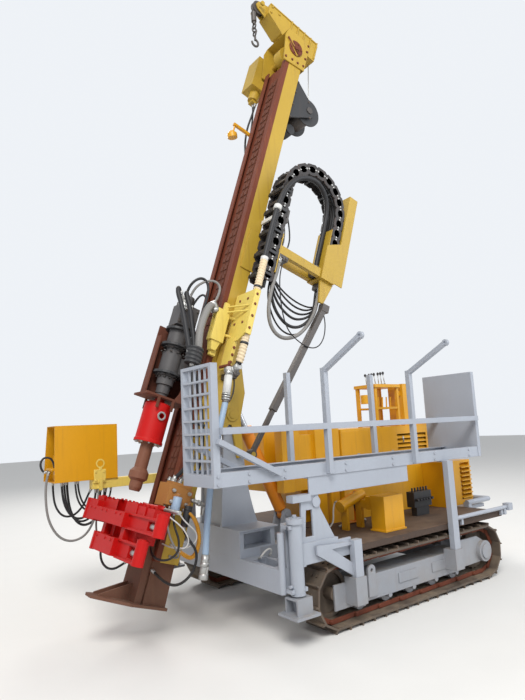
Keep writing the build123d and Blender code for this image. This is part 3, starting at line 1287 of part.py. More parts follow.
def control_box():
    """Wedge-shaped console: closed by plates on three sides, open towards its valves."""
    low, high = arm_z + arm_size / 2, box_top_z
    y0, y1 = arm_pivot_y - 60, arm_pivot_y + 260
    wall = 6
    outline = [(y0, low), (y1 + 60, low), (y1 - 60, high), (y0 + 10, high)]
    inside = [(y0 + wall, low + wall), (y1 + 52, low + wall), (y1 - 64, high - wall), (y0 + 10 + wall, high - wall)]
    shell = front_plate_solid(outline, box_front_x, box_rear_x)
    shell = shell - front_plate_solid(inside, box_front_x - 1, box_rear_x - wall)
    panel = block(box_front_x + 60, box_front_x + 74, y0 + 30, y1 - 40, low + 5, low + 250)
    valves = [bar((box_front_x - 10, y0 + 70 + 40 * number, low + 120),
                  (box_front_x + 61, y0 + 70 + 40 * number, low + 120), 14) for number in range(5)]
    return fuse(shell, panel, *valves)


def arm_bracket():
    """Upright on the front beam's far end that carries the control arm's pin."""
    x, y, z = arm_pivot_x, arm_pivot_y, arm_z
    floor = deck_top_z - 50
    shelf = block(front_x + front_beam_depth, deck_front_x, y - 60, y + 60, floor - 40, floor)
    post = block(x - 45, x + 45, y - 45, y + 45, floor - 1, z - 90)
    pin = bar((x, y, z - 91), (x, y, z + 92), arm_pin_radius)
    washer = bar((x, y, z - 91), (x, y, z - 70 - fit_gap), 55)
    cap = bar((x, y, z + 70 + fit_gap), (x, y, z + 92), 55)
    return fuse(shelf, post, pin, washer, cap)


near_track = track_loop()
near_wheels = track_wheels()
near_frame = track_frame()
parts["track_left"] = near_track
parts["track_right"] = far_side(near_track)
parts["idler_left"], parts["sprocket_left"] = near_wheels
parts["idler_right"], parts["sprocket_right"] = [far_side(wheel) for wheel in near_wheels]
parts["track_frame_left"] = fuse(near_frame, leg_socket(front_leg_x, 188, 405), leg_socket(rear_leg_x, 210, 400))
parts["track_frame_right"] = far_side(near_frame)
parts["chassis_frame"] = Compound(children=chassis_frame())
parts["cross_tubes"] = Compound(children=cross_tubes())
parts["cross_members"] = Compound(children=cross_members())
parts["deck"] = deck()
parts["front_beam"] = front_beam()
parts["tower"] = tower()
for name, side in (("left", -1), ("right", 1)):
    parts["jack_tube_" + name] = jack_tube(side)
    parts["jack_leg_" + name] = jack_leg(side)
parts["rack_support"] = rack_support()
parts["rack_frame"] = rack_frame()
parts["rack_posts"] = Compound(children=rack_posts())
parts["rack_cage"] = rack_cage()
parts["rack_end_panel"] = rack_end_panel()
parts["hood"] = hood()
parts["hood_door"] = hood_door()
parts["engine_block"] = engine_block()
parts["cooler"] = cooler()
parts["tanks"] = tanks()
parts["valve_box"] = valve_box()
parts["valve_block"] = valve_block()
parts["console"] = console()
parts["rear_bumper"] = rear_bumper()
parts["mast_beam"] = mast_beam()
parts["mast_guides"] = mast_guides()
parts["feed_chain"] = feed_chain()
parts["mast_foot"] = Compound(children=mast_foot())
parts["mast_head"] = mast_head()
parts["jib"] = jib()
parts["jib_sheave"] = jib_sheave()
parts["hook"] = hook()
parts["feed_motor"] = feed_motor()
parts["winch_frame"] = winch_frame()
parts["winch_drum"] = winch_drum()
parts["work_lamp"] = work_lamp()
parts["mast_cradle"] = mast_cradle()
parts["tilt_barrel"] = tilt_barrel()
parts["tilt_rod"] = tilt_rod()
parts["energy_chain"] = energy_chain()
parts["chain_hoses"] = Compound(children=chain_hoses())
parts["hose_trough"] = hose_trough()
parts["trough_stay"] = trough_stay()
parts["carriage"] = carriage()
parts["chain_bracket"] = chain_bracket()
parts["drive_head"] = drive_head()
parts["spindle"] = spindle()
parts["clamp_upper"] = clamp_upper()
parts["clamp_lower"] = clamp_lower()
parts["control_arm"] = control_arm()
parts["control_box"] = control_box()
parts["arm_bracket"] = arm_bracket()

os.makedirs("parts", exist_ok=True)
for name, solid in parts.items():
    export_step(solid, os.path.join("parts", name + ".step"))
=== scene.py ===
from math import cos, pi, radians, sin

import bmesh
import bpy
from mathutils import Matrix, Vector


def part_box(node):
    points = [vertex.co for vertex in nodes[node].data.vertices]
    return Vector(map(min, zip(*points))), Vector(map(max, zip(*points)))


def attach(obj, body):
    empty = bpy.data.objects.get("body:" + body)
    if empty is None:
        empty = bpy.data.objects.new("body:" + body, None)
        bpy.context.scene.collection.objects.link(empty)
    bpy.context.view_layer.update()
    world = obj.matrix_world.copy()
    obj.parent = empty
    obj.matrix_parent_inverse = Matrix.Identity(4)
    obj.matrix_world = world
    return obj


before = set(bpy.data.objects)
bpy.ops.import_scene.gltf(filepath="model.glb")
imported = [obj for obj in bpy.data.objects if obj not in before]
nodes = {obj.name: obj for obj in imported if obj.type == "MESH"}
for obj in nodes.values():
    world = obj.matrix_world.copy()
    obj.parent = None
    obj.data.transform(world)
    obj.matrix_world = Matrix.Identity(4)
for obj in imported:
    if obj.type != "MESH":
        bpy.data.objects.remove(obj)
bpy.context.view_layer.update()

print("frame loaded", len(nodes), "nodes")


# Places: metres in the machine's frame, and the leaned mast's own frame
lean = radians(18.6)
mastBase = Vector((-2.421, 0, 0))
mastBack = Vector((cos(lean), 0, -sin(lean)))
mastUp = Vector((sin(lean), 0, cos(lean)))
sideways = Vector((0, 1, 0))


def onMast(back, side, up):
    return mastBase + mastBack * back + sideways * side + mastUp * up


def tone(red, green, blue):
    parts = []
    for value in (red, green, blue):
        value = value / 255
        parts.append(value / 12.92 if value <= 0.04045 else ((value + 0.055) / 1.055) ** 2.4)
    return (*parts, 1)


# Node groups of the surfaces
def newGroup(name, inputs, outputs):
    group = bpy.data.node_groups.new(name, "ShaderNodeTree")
    for label, kind, value in inputs:
        socket = group.interface.new_socket(name=label, in_out="INPUT", socket_type="NodeSocket" + kind)
        if value is not None:
            socket.default_value = value
    for label, kind in outputs:
        group.interface.new_socket(name=label, in_out="OUTPUT", socket_type="NodeSocket" + kind)
    return group, group.nodes.new("NodeGroupInput"), group.nodes.new("NodeGroupOutput")


class Wiring:
    def __init__(self, tree):
        self.tree = tree

    def link(self, source, target):
        self.tree.links.new(source, target)

    def node(self, kind, **values):
        made = self.tree.nodes.new(kind)
        for key, value in values.items():
            setattr(made, key, value)
        return made

    def fill(self, socket, value):
        if hasattr(value, "is_output"):
            self.link(value, socket)
        else:
            socket.default_value = value

    def math(self, operation, first, second, clamp=False):
        made = self.node("ShaderNodeMath", operation=operation, use_clamp=clamp)
        self.fill(made.inputs[0], first)
        self.fill(made.inputs[1], second)
        return made.outputs[0]

    def times(self, first, second, clamp=False):
        return self.math("MULTIPLY", first, second, clamp=clamp)

    def plus(self, first, second, clamp=False):
        return self.math("ADD", first, second, clamp=clamp)

    def mix(self, factor, first, second):
        made = self.node("ShaderNodeMix", data_type="RGBA", blend_type="MIX", clamp_factor=True)
        self.fill(made.inputs[0], factor)
        self.fill(made.inputs[6], first)
        self.fill(made.inputs[7], second)
        return made.outputs[2]

    def noise(self, vector, scale, detail, rough=0.55):
        made = self.node("ShaderNodeTexNoise")
        self.link(vector, made.inputs["Vector"])
        made.inputs["Scale"].default_value = scale
        made.inputs["Detail"].default_value = detail
        made.inputs["Roughness"].default_value = rough
        return made.outputs["Fac"]

    def stretch(self, vector, scale):
        made = self.node("ShaderNodeMapping")
        self.link(vector, made.inputs["Vector"])
        made.inputs["Scale"].default_value = scale
        return made.outputs[0]

    def step(self, value, low, high):
        made = self.node("ShaderNodeMapRange", interpolation_type="SMOOTHSTEP")
        self.fill(made.inputs["Value"], value)
        made.inputs["From Min"].default_value = low
        made.inputs["From Max"].default_value = high
        return made.outputs[0]


# Wear of every surface: noise as scale, detail, roughness; steps as low, high
wear = {"bevelRadius": 0.005, "bevelSamples": 6, "edgeStep": (0.02, 0.24), "broad": (1.6, 5, 0.55),
        "middle": (9.0, 8, 0.62), "fine": (62.0, 5, 0.6), "speck": (24.0, 9, 0.68), "drops": (1.4, 5, 0.6),
        "dropStretch": (16, 16, 1.1), "chipStep": (0.42, 0.6), "spotLevel": 0.79, "spotShare": 0.2,
        "edgeGain": 1.6, "dropStep": (0.52, 0.72), "lyingStep": (0.35, 0.95), "lowStep": (0.0, 0.75),
        "dustStep": (0.34, 0.66), "lyingDust": 0.75, "lowDust": 0.55, "shadeFloor": 0.84, "shadeSpan": 0.24,
        "spotMix": (0.6, 0.4), "patchMix": (0.5, 0.5), "fineShade": 0.35, "streakShare": 0.55,
        "freshRust": (0.32, 0.13, 0.05, 1), "roughNoise": 0.09, "roughWear": 0.32, "bareMetal": 0.15,
        "chipDepth": -0.35, "speckRelief": 0.8, "bumpStrength": 0.35, "bumpDistance": 0.004}


def surfaceGroup():
    group, given, out = newGroup(
        "wornSurface",
        [("Paint", "Color", (0.8, 0.8, 0.8, 1)), ("Under", "Color", (0.1, 0.05, 0.03, 1)),
         ("Dust", "Color", (0.5, 0.45, 0.38, 1)), ("Chips", "Float", 0.3), ("Dusting", "Float", 0.3),
         ("Streaks", "Float", 0.2), ("Grain", "Float", 0.3), ("Shine", "Float", 0.4)],
        [("Color", "Color"), ("Roughness", "Float"), ("Metallic", "Float"), ("Normal", "Vector")])
    w = Wiring(group)
    use = given.outputs
    place = w.node("ShaderNodeTexCoord").outputs["Object"]
    geometry = w.node("ShaderNodeNewGeometry")
    bevel = w.node("ShaderNodeBevel", samples=wear["bevelSamples"])
    bevel.inputs["Radius"].default_value = wear["bevelRadius"]
    dot = w.node("ShaderNodeVectorMath", operation="DOT_PRODUCT")
    w.link(bevel.outputs[0], dot.inputs[0])
    w.link(geometry.outputs["Normal"], dot.inputs[1])
    edge = w.step(w.math("SUBTRACT", 1.0, dot.outputs["Value"]), *wear["edgeStep"])
    broad, middle, fine, speck = (w.noise(place, *wear[name]) for name in ("broad", "middle", "fine", "speck"))
    drops = w.noise(w.stretch(place, wear["dropStretch"]), *wear["drops"])

    # Chips: bare edges and spots
    edgeChip = w.times(edge, w.step(middle, *wear["chipStep"]))
    spotLevel = w.math("SUBTRACT", wear["spotLevel"], w.times(use["Chips"], wear["spotShare"]))
    speckPart, middlePart = wear["spotMix"]
    spot = w.math("GREATER_THAN", w.plus(w.times(speck, speckPart), w.times(middle, middlePart)), spotLevel)
    chips = w.math("MAXIMUM", w.times(edgeChip, w.times(use["Chips"], wear["edgeGain"], clamp=True)), spot)

    # Streaks, and dust on what lies flat or low
    streak = w.times(w.step(drops, *wear["dropStep"]), use["Streaks"])
    split = w.node("ShaderNodeSeparateXYZ")
    w.link(geometry.outputs["Normal"], split.inputs[0])
    lying = w.step(split.outputs["Z"], *wear["lyingStep"])
    height = w.node("ShaderNodeSeparateXYZ")
    w.link(place, height.inputs[0])
    low = w.math("SUBTRACT", 1.0, w.step(height.outputs["Z"], *wear["lowStep"]))
    dusty = w.times(w.plus(w.times(lying, wear["lyingDust"]), w.times(low, wear["lowDust"])), use["Dusting"])
    broadPart, middlePart = wear["patchMix"]
    patches = w.step(w.plus(w.times(broad, broadPart), w.times(middle, middlePart)), *wear["dustStep"])
    dusty = w.times(dusty, patches, clamp=True)

    # Colour
    fineShade = w.times(fine, wear["fineShade"])
    shade = w.plus(wear["shadeFloor"], w.times(w.plus(broad, fineShade), wear["shadeSpan"]))
    tinted = w.node("ShaderNodeVectorMath", operation="SCALE")
    w.link(use["Paint"], tinted.inputs[0])
    w.link(shade, tinted.inputs["Scale"])
    rust = w.mix(middle, use["Under"], w.mix(0.5, use["Under"], wear["freshRust"]))
    stained = w.mix(0.5, rust, tinted.outputs[0])
    colour = w.mix(w.times(streak, wear["streakShare"]), tinted.outputs[0], stained)
    colour = w.mix(chips, colour, rust)
    colour = w.mix(dusty, colour, use["Dust"])
    w.link(colour, out.inputs["Color"])

    # Roughness, bare metal and relief
    rough = w.plus(use["Shine"], w.times(w.plus(fine, middle), wear["roughNoise"]))
    rough = w.plus(rough, w.times(w.math("MAXIMUM", chips, dusty), wear["roughWear"]), clamp=True)
    w.link(rough, out.inputs["Roughness"])
    w.link(w.times(chips, wear["bareMetal"]), out.inputs["Metallic"])
    bump = w.node("ShaderNodeBump")
    bump.inputs["Strength"].default_value = wear["bumpStrength"]
    bump.inputs["Distance"].default_value = wear["bumpDistance"]
    relief = w.plus(w.times(fine, use["Grain"]), w.times(chips, wear["chipDepth"]))
    relief = w.plus(relief, w.times(w.times(speck, use["Grain"]), wear["speckRelief"]))
    w.link(relief, bump.inputs["Height"])
    w.link(bevel.outputs[0], bump.inputs["Normal"])
    w.link(bump.outputs[0], out.inputs["Normal"])
    return group


def bandGroup():
    group, given, out = newGroup("mastBand", [("Level", "Float", 1.0), ("Above", "Color", (0.5, 0.5, 0.5, 1)),
                                              ("Below", "Color", (0.1, 0.1, 0.1, 1))], [("Color", "Color")])
    w = Wiring(group)
    place = w.node("ShaderNodeVectorMath", operation="SUBTRACT")
    w.link(w.node("ShaderNodeTexCoord").outputs["Object"], place.inputs[0])
    place.inputs[1].default_value = mastBase
    climb = w.node("ShaderNodeVectorMath", operation="DOT_PRODUCT")
    w.link(place.outputs[0], climb.inputs[0])
    climb.inputs[1].default_value = mastUp
    above = w.math("GREATER_THAN", climb.outputs["Value"], given.outputs["Level"])
    w.link(w.mix(above, given.outputs["Below"], given.outputs["Above"]), out.inputs["Color"])
    return group


surfaceDetail = surfaceGroup()
mastBand = bandGroup()


def worn(name, paint, under, dust, chips, dusting, streaks, grain, shine, more):
    made = bpy.data.materials.new(name)
    made.use_nodes = True
    tree = made.node_tree
    shader = tree.nodes["Principled BSDF"]
    detail = tree.nodes.new("ShaderNodeGroup")
    detail.node_tree = surfaceDetail
    values = {"Paint": tone(*paint), "Under": tone(*under), "Dust": tone(*dust), "Chips": chips, "Dusting": dusting,
              "Streaks": streaks, "Grain": grain, "Shine": shine}
    for key, value in values.items():
        detail.inputs[key].default_value = value
    if "lower" in more:
        level, lowPaint = more["lower"]
        cut = tree.nodes.new("ShaderNodeGroup")
        cut.node_tree = mastBand
        cut.inputs["Level"].default_value = level
        cut.inputs["Above"].default_value = tone(*paint)
        cut.inputs["Below"].default_value = tone(*lowPaint)
        tree.links.new(cut.outputs["Color"], detail.inputs["Paint"])
    tree.links.new(detail.outputs["Color"], shader.inputs["Base Color"])
    tree.links.new(detail.outputs["Roughness"], shader.inputs["Roughness"])
    tree.links.new(detail.outputs["Normal"], shader.inputs["Normal"])
    if "metallic" in more:
        shader.inputs["Metallic"].default_value = more["metallic"]
    else:
        tree.links.new(detail.outputs["Metallic"], shader.inputs["Metallic"])
    shader.inputs["Specular IOR Level"].default_value = more.get("specular", 0.5)
    shader.inputs["Coat Weight"].default_value = more.get("coat", 0.0)
    shader.inputs["Coat Roughness"].default_value = 0.25
    made.diffuse_color = tone(*paint)
    return made


# Finishes: name, paint, what chips bare, dust, then chips, dusting, streaks, grain, shine. "lower" is a second
# paint below a height on the mast.
brown, clay = (96, 58, 40), (150, 134, 112)
finishes = {
    "yellow": ("yellowPaint", (214, 154, 10), brown, clay, 0.36, 0.24, 0.4, 0.3, 0.34, {"coat": 0.12}),
    # The mast's yellow is faded olive paint darkened to its look in shade: part paint colour, part painted shade.
    "shadedMastYellow": ("mastPaintAndShade", (178, 146, 46), (104, 66, 40), (166, 146, 96), 0.5, 0.2, 0.7, 0.3,
        0.46, {"coat": 0.05}),
    "orange": ("orangePaint", (222, 132, 22), brown, clay, 0.3, 0.12, 0.3, 0.3, 0.36, {}),
    "grey": ("greyPaint", (160, 166, 177), (104, 84, 74), clay, 0.2, 0.26, 0.16, 0.22, 0.36, {"coat": 0.1}),
    "lowGrey": ("greyPaintLow", (146, 150, 158), (104, 84, 74), (142, 126, 104), 0.3, 0.6, 0.3, 0.35, 0.42, {}),
    "red": ("redPaint", (184, 10, 8), (70, 36, 32), clay, 0.38, 0.08, 0.2, 0.3, 0.4, {"specular": 0.28}),
    "spindleRed": ("spindlePaint", (184, 10, 8), (70, 36, 32), clay, 0.38, 0.08, 0.2, 0.3, 0.4,
        {"specular": 0.28, "lower": (1.551, (118, 76, 58))}),
    "rust": ("rustSteel", (98, 56, 42), (126, 74, 52), (128, 104, 86), 0.5, 0.3, 0.6, 0.9, 0.62, {"specular": 0.3}),
    "guide": ("guideSteel", (106, 52, 34), (150, 84, 52), (120, 92, 74), 0.5, 0.16, 0.8, 0.8, 0.58,
        {"specular": 0.35}),
    "foot": ("footSteel", (168, 116, 62), (132, 92, 72), (140, 122, 104), 0.6, 0.5, 0.6, 1, 0.66,
        {"specular": 0.3, "lower": (1.03, (106, 72, 57))}),
    "black": ("blackPaint", (42, 43, 46), (92, 74, 62), clay, 0.3, 0.25, 0.25, 0.4, 0.42, {}),
    "drive": ("driveIron", (76, 74, 75), (110, 76, 58), clay, 0.42, 0.25, 0.4, 0.7, 0.46, {"specular": 0.45}),
    "track": ("trackSteel", (84, 74, 66), (118, 82, 60), (142, 126, 106), 0.6, 0.65, 0.3, 1, 0.55, {"specular": 0.4}),
    "deck": ("deckPlate", (72, 58, 50), (138, 92, 66), (136, 114, 94), 0.7, 0.5, 0.2, 0.9, 0.6, {"specular": 0.35}),
    "engine": ("engineIron", (70, 74, 76), (100, 76, 60), clay, 0.3, 0.4, 0.3, 0.8, 0.5, {}),
    "darkSteel": ("darkSteel", (86, 82, 80), (112, 80, 62), clay, 0.4, 0.2, 0.3, 0.6, 0.42, {"metallic": 0.5}),
    "bright": ("brightRod", (206, 208, 212), (150, 148, 146), clay, 0.05, 0.05, 0.05, 0.05, 0.14, {"metallic": 1.0}),
    "chain": ("chainLinks", (52, 49, 49), (104, 60, 42), (150, 138, 126), 0.7, 0.3, 0.5, 0.6, 0.5, {}),
    "linkRust": ("linkRust", (120, 66, 48), (160, 96, 66), (150, 120, 100), 0.5, 0.2, 0.4, 0.9, 0.6,
        {"specular": 0.3}),
    "bracket": ("bracketYellow", (224, 200, 100), (150, 88, 46), (170, 140, 100), 0.5, 0.15, 0.5, 0.4, 0.4, {}),
    "cream": ("creamGuard", (222, 202, 168), (170, 128, 84), (178, 150, 112), 0.35, 0.3, 0.6, 0.4, 0.5, {}),
    "amber": ("amberGuard", (214, 150, 40), (120, 84, 50), clay, 0.35, 0.3, 0.5, 0.4, 0.5, {}),
    "pale": ("palePlastic", (206, 206, 204), (150, 140, 130), clay, 0.15, 0.3, 0.3, 0.2, 0.4, {}),
    "paleBlue": ("paleBlueHose", (150, 172, 196), (120, 128, 140), clay, 0.15, 0.25, 0.4, 0.2, 0.38, {}),
    "greyHose": ("greyHose", (128, 126, 124), (96, 90, 86), clay, 0.2, 0.3, 0.3, 0.5, 0.5, {}),
    "zinc": ("zincSteel", (176, 176, 174), (128, 110, 94), clay, 0.3, 0.15, 0.2, 0.3, 0.32, {"metallic": 0.8}),
    "hose": ("hoseRubber", (36, 36, 39), (58, 55, 52), clay, 0.12, 0.24, 0.1, 0.5, 0.44, {"specular": 0.4}),
}
materials = {key: worn(*finish) for key, finish in finishes.items()}

nodeLook = {
    "yellow": ["hood", "hood_door", "tanks", "valve_box", "console", "control_box", "cooler", "work_lamp"],
    "shadedMastYellow": ["mast_beam", "mast_head", "jib", "mast_cradle", "hose_trough", "feed_motor"],
    "orange": ["tilt_barrel"],
    "grey": ["front_beam", "tower", "jack_tube_left", "jack_tube_right", "rack_support", "rack_frame", "rack_posts",
             "rack_cage", "rack_end_panel", "rear_bumper", "arm_bracket"],
    "lowGrey": ["track_frame_left", "track_frame_right", "chassis_frame", "cross_tubes", "cross_members",
                "jack_leg_left", "jack_leg_right"],
    "red": ["clamp_upper", "clamp_lower"],
    "spindleRed": ["spindle"],
    "rust": ["carriage", "feed_chain"],
    "chain": ["energy_chain"],
    "bracket": ["chain_bracket", "control_arm"],
    "hose": ["chain_hoses"],
    "guide": ["mast_guides"],
    "foot": ["mast_foot"],
    "black": ["winch_frame", "winch_drum", "valve_block"],
    "drive": ["drive_head"],
    "track": ["track_left", "track_right", "idler_left", "idler_right", "sprocket_left", "sprocket_right"],
    "deck": ["deck"],
    "engine": ["engine_block"],
    "darkSteel": ["jib_sheave", "hook", "trough_stay"],
    "bright": ["tilt_rod"],
}
for look, members in nodeLook.items():
    for member in members:
        data = nodes[member].data
        data.materials.clear()
        data.materials.append(materials[look])
print("materials set")


# Floor, light and camera. Lamps: name, place, aim, watts, size, colour
studio = {"reach": 40, "floorTones": ((0.78, 0.77, 0.75, 1), (0.7, 0.69, 0.67, 1)), "floorGrain": 3.0,
          "floorShare": 0.3, "floorRough": 0.9, "ambient": ((0.93, 0.96, 1.0, 1), 0.58),
          "backdrop": ((0.86, 0.89, 0.93, 1), 1.0), "lens": 27.9, "sensor": 36, "clip": (0.05, 200)}
lamps = [("key", (-6.5, -7.5, 10.5), (-0.6, 0, 1.8), 1250, 5.0, (1.0, 0.98, 0.94)),
         ("fill", (6.5, -8.0, 6.0), (0, 0, 1.8), 400, 6.0, (0.94, 0.97, 1.0)),
         ("rim", (2.0, 9.0, 9.5), (0, 0, 2.5), 600, 5.0, (1.0, 0.98, 0.95))]


def stageSetting():
    bm, reach = bmesh.new(), studio["reach"]
    corners = [bm.verts.new((x * reach, y * reach, 0)) for x, y in ((-1, -1), (1, -1), (1, 1), (-1, 1))]
    bm.faces.new(corners)
    mesh = bpy.data.meshes.new("studioFloor")
    bm.to_mesh(mesh)
    floor = bpy.data.objects.new("studioFloor", mesh)
    bpy.context.scene.collection.objects.link(floor)
    made = bpy.data.materials.new("paleFloor")
    made.use_nodes = True
    shader = made.node_tree.nodes["Principled BSDF"]
    w = Wiring(made.node_tree)
    place = w.node("ShaderNodeTexCoord").outputs["Object"]
    grain = w.noise(place, studio["floorGrain"], 6)
    w.link(w.mix(w.times(grain, studio["floorShare"]), *studio["floorTones"]), shader.inputs["Base Color"])
    shader.inputs["Roughness"].default_value = studio["floorRough"]
    shader.inputs["Specular IOR Level"].default_value = 0.2
    mesh.materials.append(made)

    world = bpy.data.worlds.new("softSky")
    bpy.context.scene.world = world
    world.use_nodes = True
    tree = world.node_tree
    w = Wiring(tree)
    ambient = tree.nodes["Background"]
    seen = w.node("ShaderNodeBackground")
    for light, (colour, strength) in ((ambient, studio["ambient"]), (seen, studio["backdrop"])):
        light.inputs["Color"].default_value = colour
        light.inputs["Strength"].default_value = strength
    rays = w.node("ShaderNodeLightPath")
    direct = w.math("MAXIMUM", rays.outputs["Is Camera Ray"], rays.outputs["Is Transmission Ray"])
    direct = w.math("MAXIMUM", direct, rays.outputs["Is Glossy Ray"])
    blend = w.node("ShaderNodeMixShader")
    w.link(direct, blend.inputs[0])
    w.link(ambient.outputs[0], blend.inputs[1])
    w.link(seen.outputs[0], blend.inputs[2])
    w.link(blend.outputs[0], tree.nodes["World Output"].inputs["Surface"])

    for name, place, aim, power, size, colour in lamps:
        lamp = bpy.data.lights.new(name, "AREA")
        lamp.energy = power
        lamp.size = size
        lamp.color = colour
        holder = bpy.data.objects.new(name, lamp)
        holder.location = place
        holder.rotation_euler = (Vector(aim) - Vector(place)).to_track_quat("-Z", "Y").to_euler()
        bpy.context.scene.collection.objects.link(holder)

    lens = bpy.data.cameras.new("photoCamera")
    lens.lens = studio["lens"]
    lens.sensor_width = studio["sensor"]
    lens.clip_start, lens.clip_end = studio["clip"]
    camera = bpy.data.objects.new("photoCamera", lens)
    right = Vector((0.80473, -0.59158, -0.04935))
    down = Vector((0.04474, 0.14333, -0.98866))
    ahead = Vector((0.59195, 0.79340, 0.14180))
    axes = Matrix((right, -down, -ahead)).transposed().to_4x4()
    camera.matrix_world = Matrix.Translation((-4.237, -4.444, 1.650)) @ axes
    bpy.context.scene.collection.objects.link(camera)
    bpy.context.scene.camera = camera
    bpy.context.scene.view_settings.view_transform = "Standard"


stageSetting()
print("stage set")


# Small makers of solid forms
def alongAxis(start, end):
    start, end = Vector(start), Vector(end)
    turn = (end - start).to_track_quat("Z", "Y").to_matrix().to_4x4()
    return Matrix.Translation(start) @ turn, (end - start).length


def rodInto(bm, start, end, radius, sides=12, endRadius=None, edge=0.0):
    place, length = alongAxis(start, end)
    made = bmesh.ops.create_cone(bm, cap_ends=True, segments=sides, radius1=radius,
                                 radius2=radius if endRadius is None else endRadius, depth=length,
                                 matrix=place @ Matrix.Translation((0, 0, length / 2)))
    for face in {face for vert in made["verts"] for face in vert.link_faces}:
        face.smooth = len(face.verts) == 4
    if edge:
        rims = {side for vert in made["verts"] for side in vert.link_edges
                if any(len(face.verts) > 4 for face in side.link_faces)}
        bmesh.ops.bevel(bm, geom=list(rims), offset=edge, segments=1, affect="EDGES")


def blockInto(bm, low, high, place=None, edge=0.004):
    verts = [bm.verts.new((x, y, z)) for x in (low[0], high[0]) for y in (low[1], high[1]) for z in (low[2], high[2])]
    faces = [bm.faces.new([verts[number] for number in order]) for order in
             ((0, 1, 3, 2), (4, 6, 7, 5), (0, 4, 5, 1), (2, 3, 7, 6), (0, 2, 6, 4), (1, 5, 7, 3))]
    if edge:
        sides = list({side for face in faces for side in face.edges})
        made = bmesh.ops.bevel(bm, geom=sides, offset=edge, segments=1, affect="EDGES")
        verts = list({vert for face in made["faces"] for vert in face.verts})
    if place is not None:
        for vert in verts:
            vert.co = place(*vert.co)


def boltInto(bm, place, axis, radius=0.011, height=0.009):
    axis = Vector(axis).normalized()
    start = Vector(place) - axis * 0.001
    rodInto(bm, start, start + axis * 0.003, radius * 1.35, 14)
    rodInto(bm, start + axis * 0.002, start + axis * (0.002 + height), radius, 6)


def addPiece(name, bm, look, body, slot):
    bmesh.ops.recalc_face_normals(bm, faces=bm.faces)
    mesh = bpy.data.meshes.new(name)
    bm.to_mesh(mesh)
    bm.free()
    mesh.materials.append(materials[look])
    piece = bpy.data.objects.new(name, mesh)
    bpy.context.scene.collection.objects.link(piece)
    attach(piece, body)
    return piece


def lineData(name, route, steps):
    data = bpy.data.curves.new(name, "CURVE")
    data.dimensions = "3D"
    line = data.splines.new("NURBS")
    line.points.add(len(route) - 1)
    for point, place in zip(line.points, route):
        point.co = (*place, 1)
    line.order_u = 3
    line.use_endpoint_u = True
    data.resolution_u = steps
    return data


def hoseCurve(name, route, radius, look, body):
    data = lineData(name, route, 6)
    data.bevel_depth = radius
    data.bevel_resolution = 3
    data.use_fill_caps = True
    data.materials.append(materials[look])
    piece = bpy.data.objects.new(name, data)
    bpy.context.scene.collection.objects.link(piece)
    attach(piece, body)
    return piece


def linePoints(route, steps=8):
    data = lineData("line", route, steps)
    holder = bpy.data.objects.new("line", data)
    bpy.context.scene.collection.objects.link(holder)
    bpy.context.view_layer.update()
    mesh = bpy.data.meshes.new_from_object(holder.evaluated_get(bpy.context.evaluated_depsgraph_get()))
    points = [vert.co.copy() for vert in mesh.vertices]
    bpy.data.objects.remove(holder)
    bpy.data.meshes.remove(mesh)
    return points


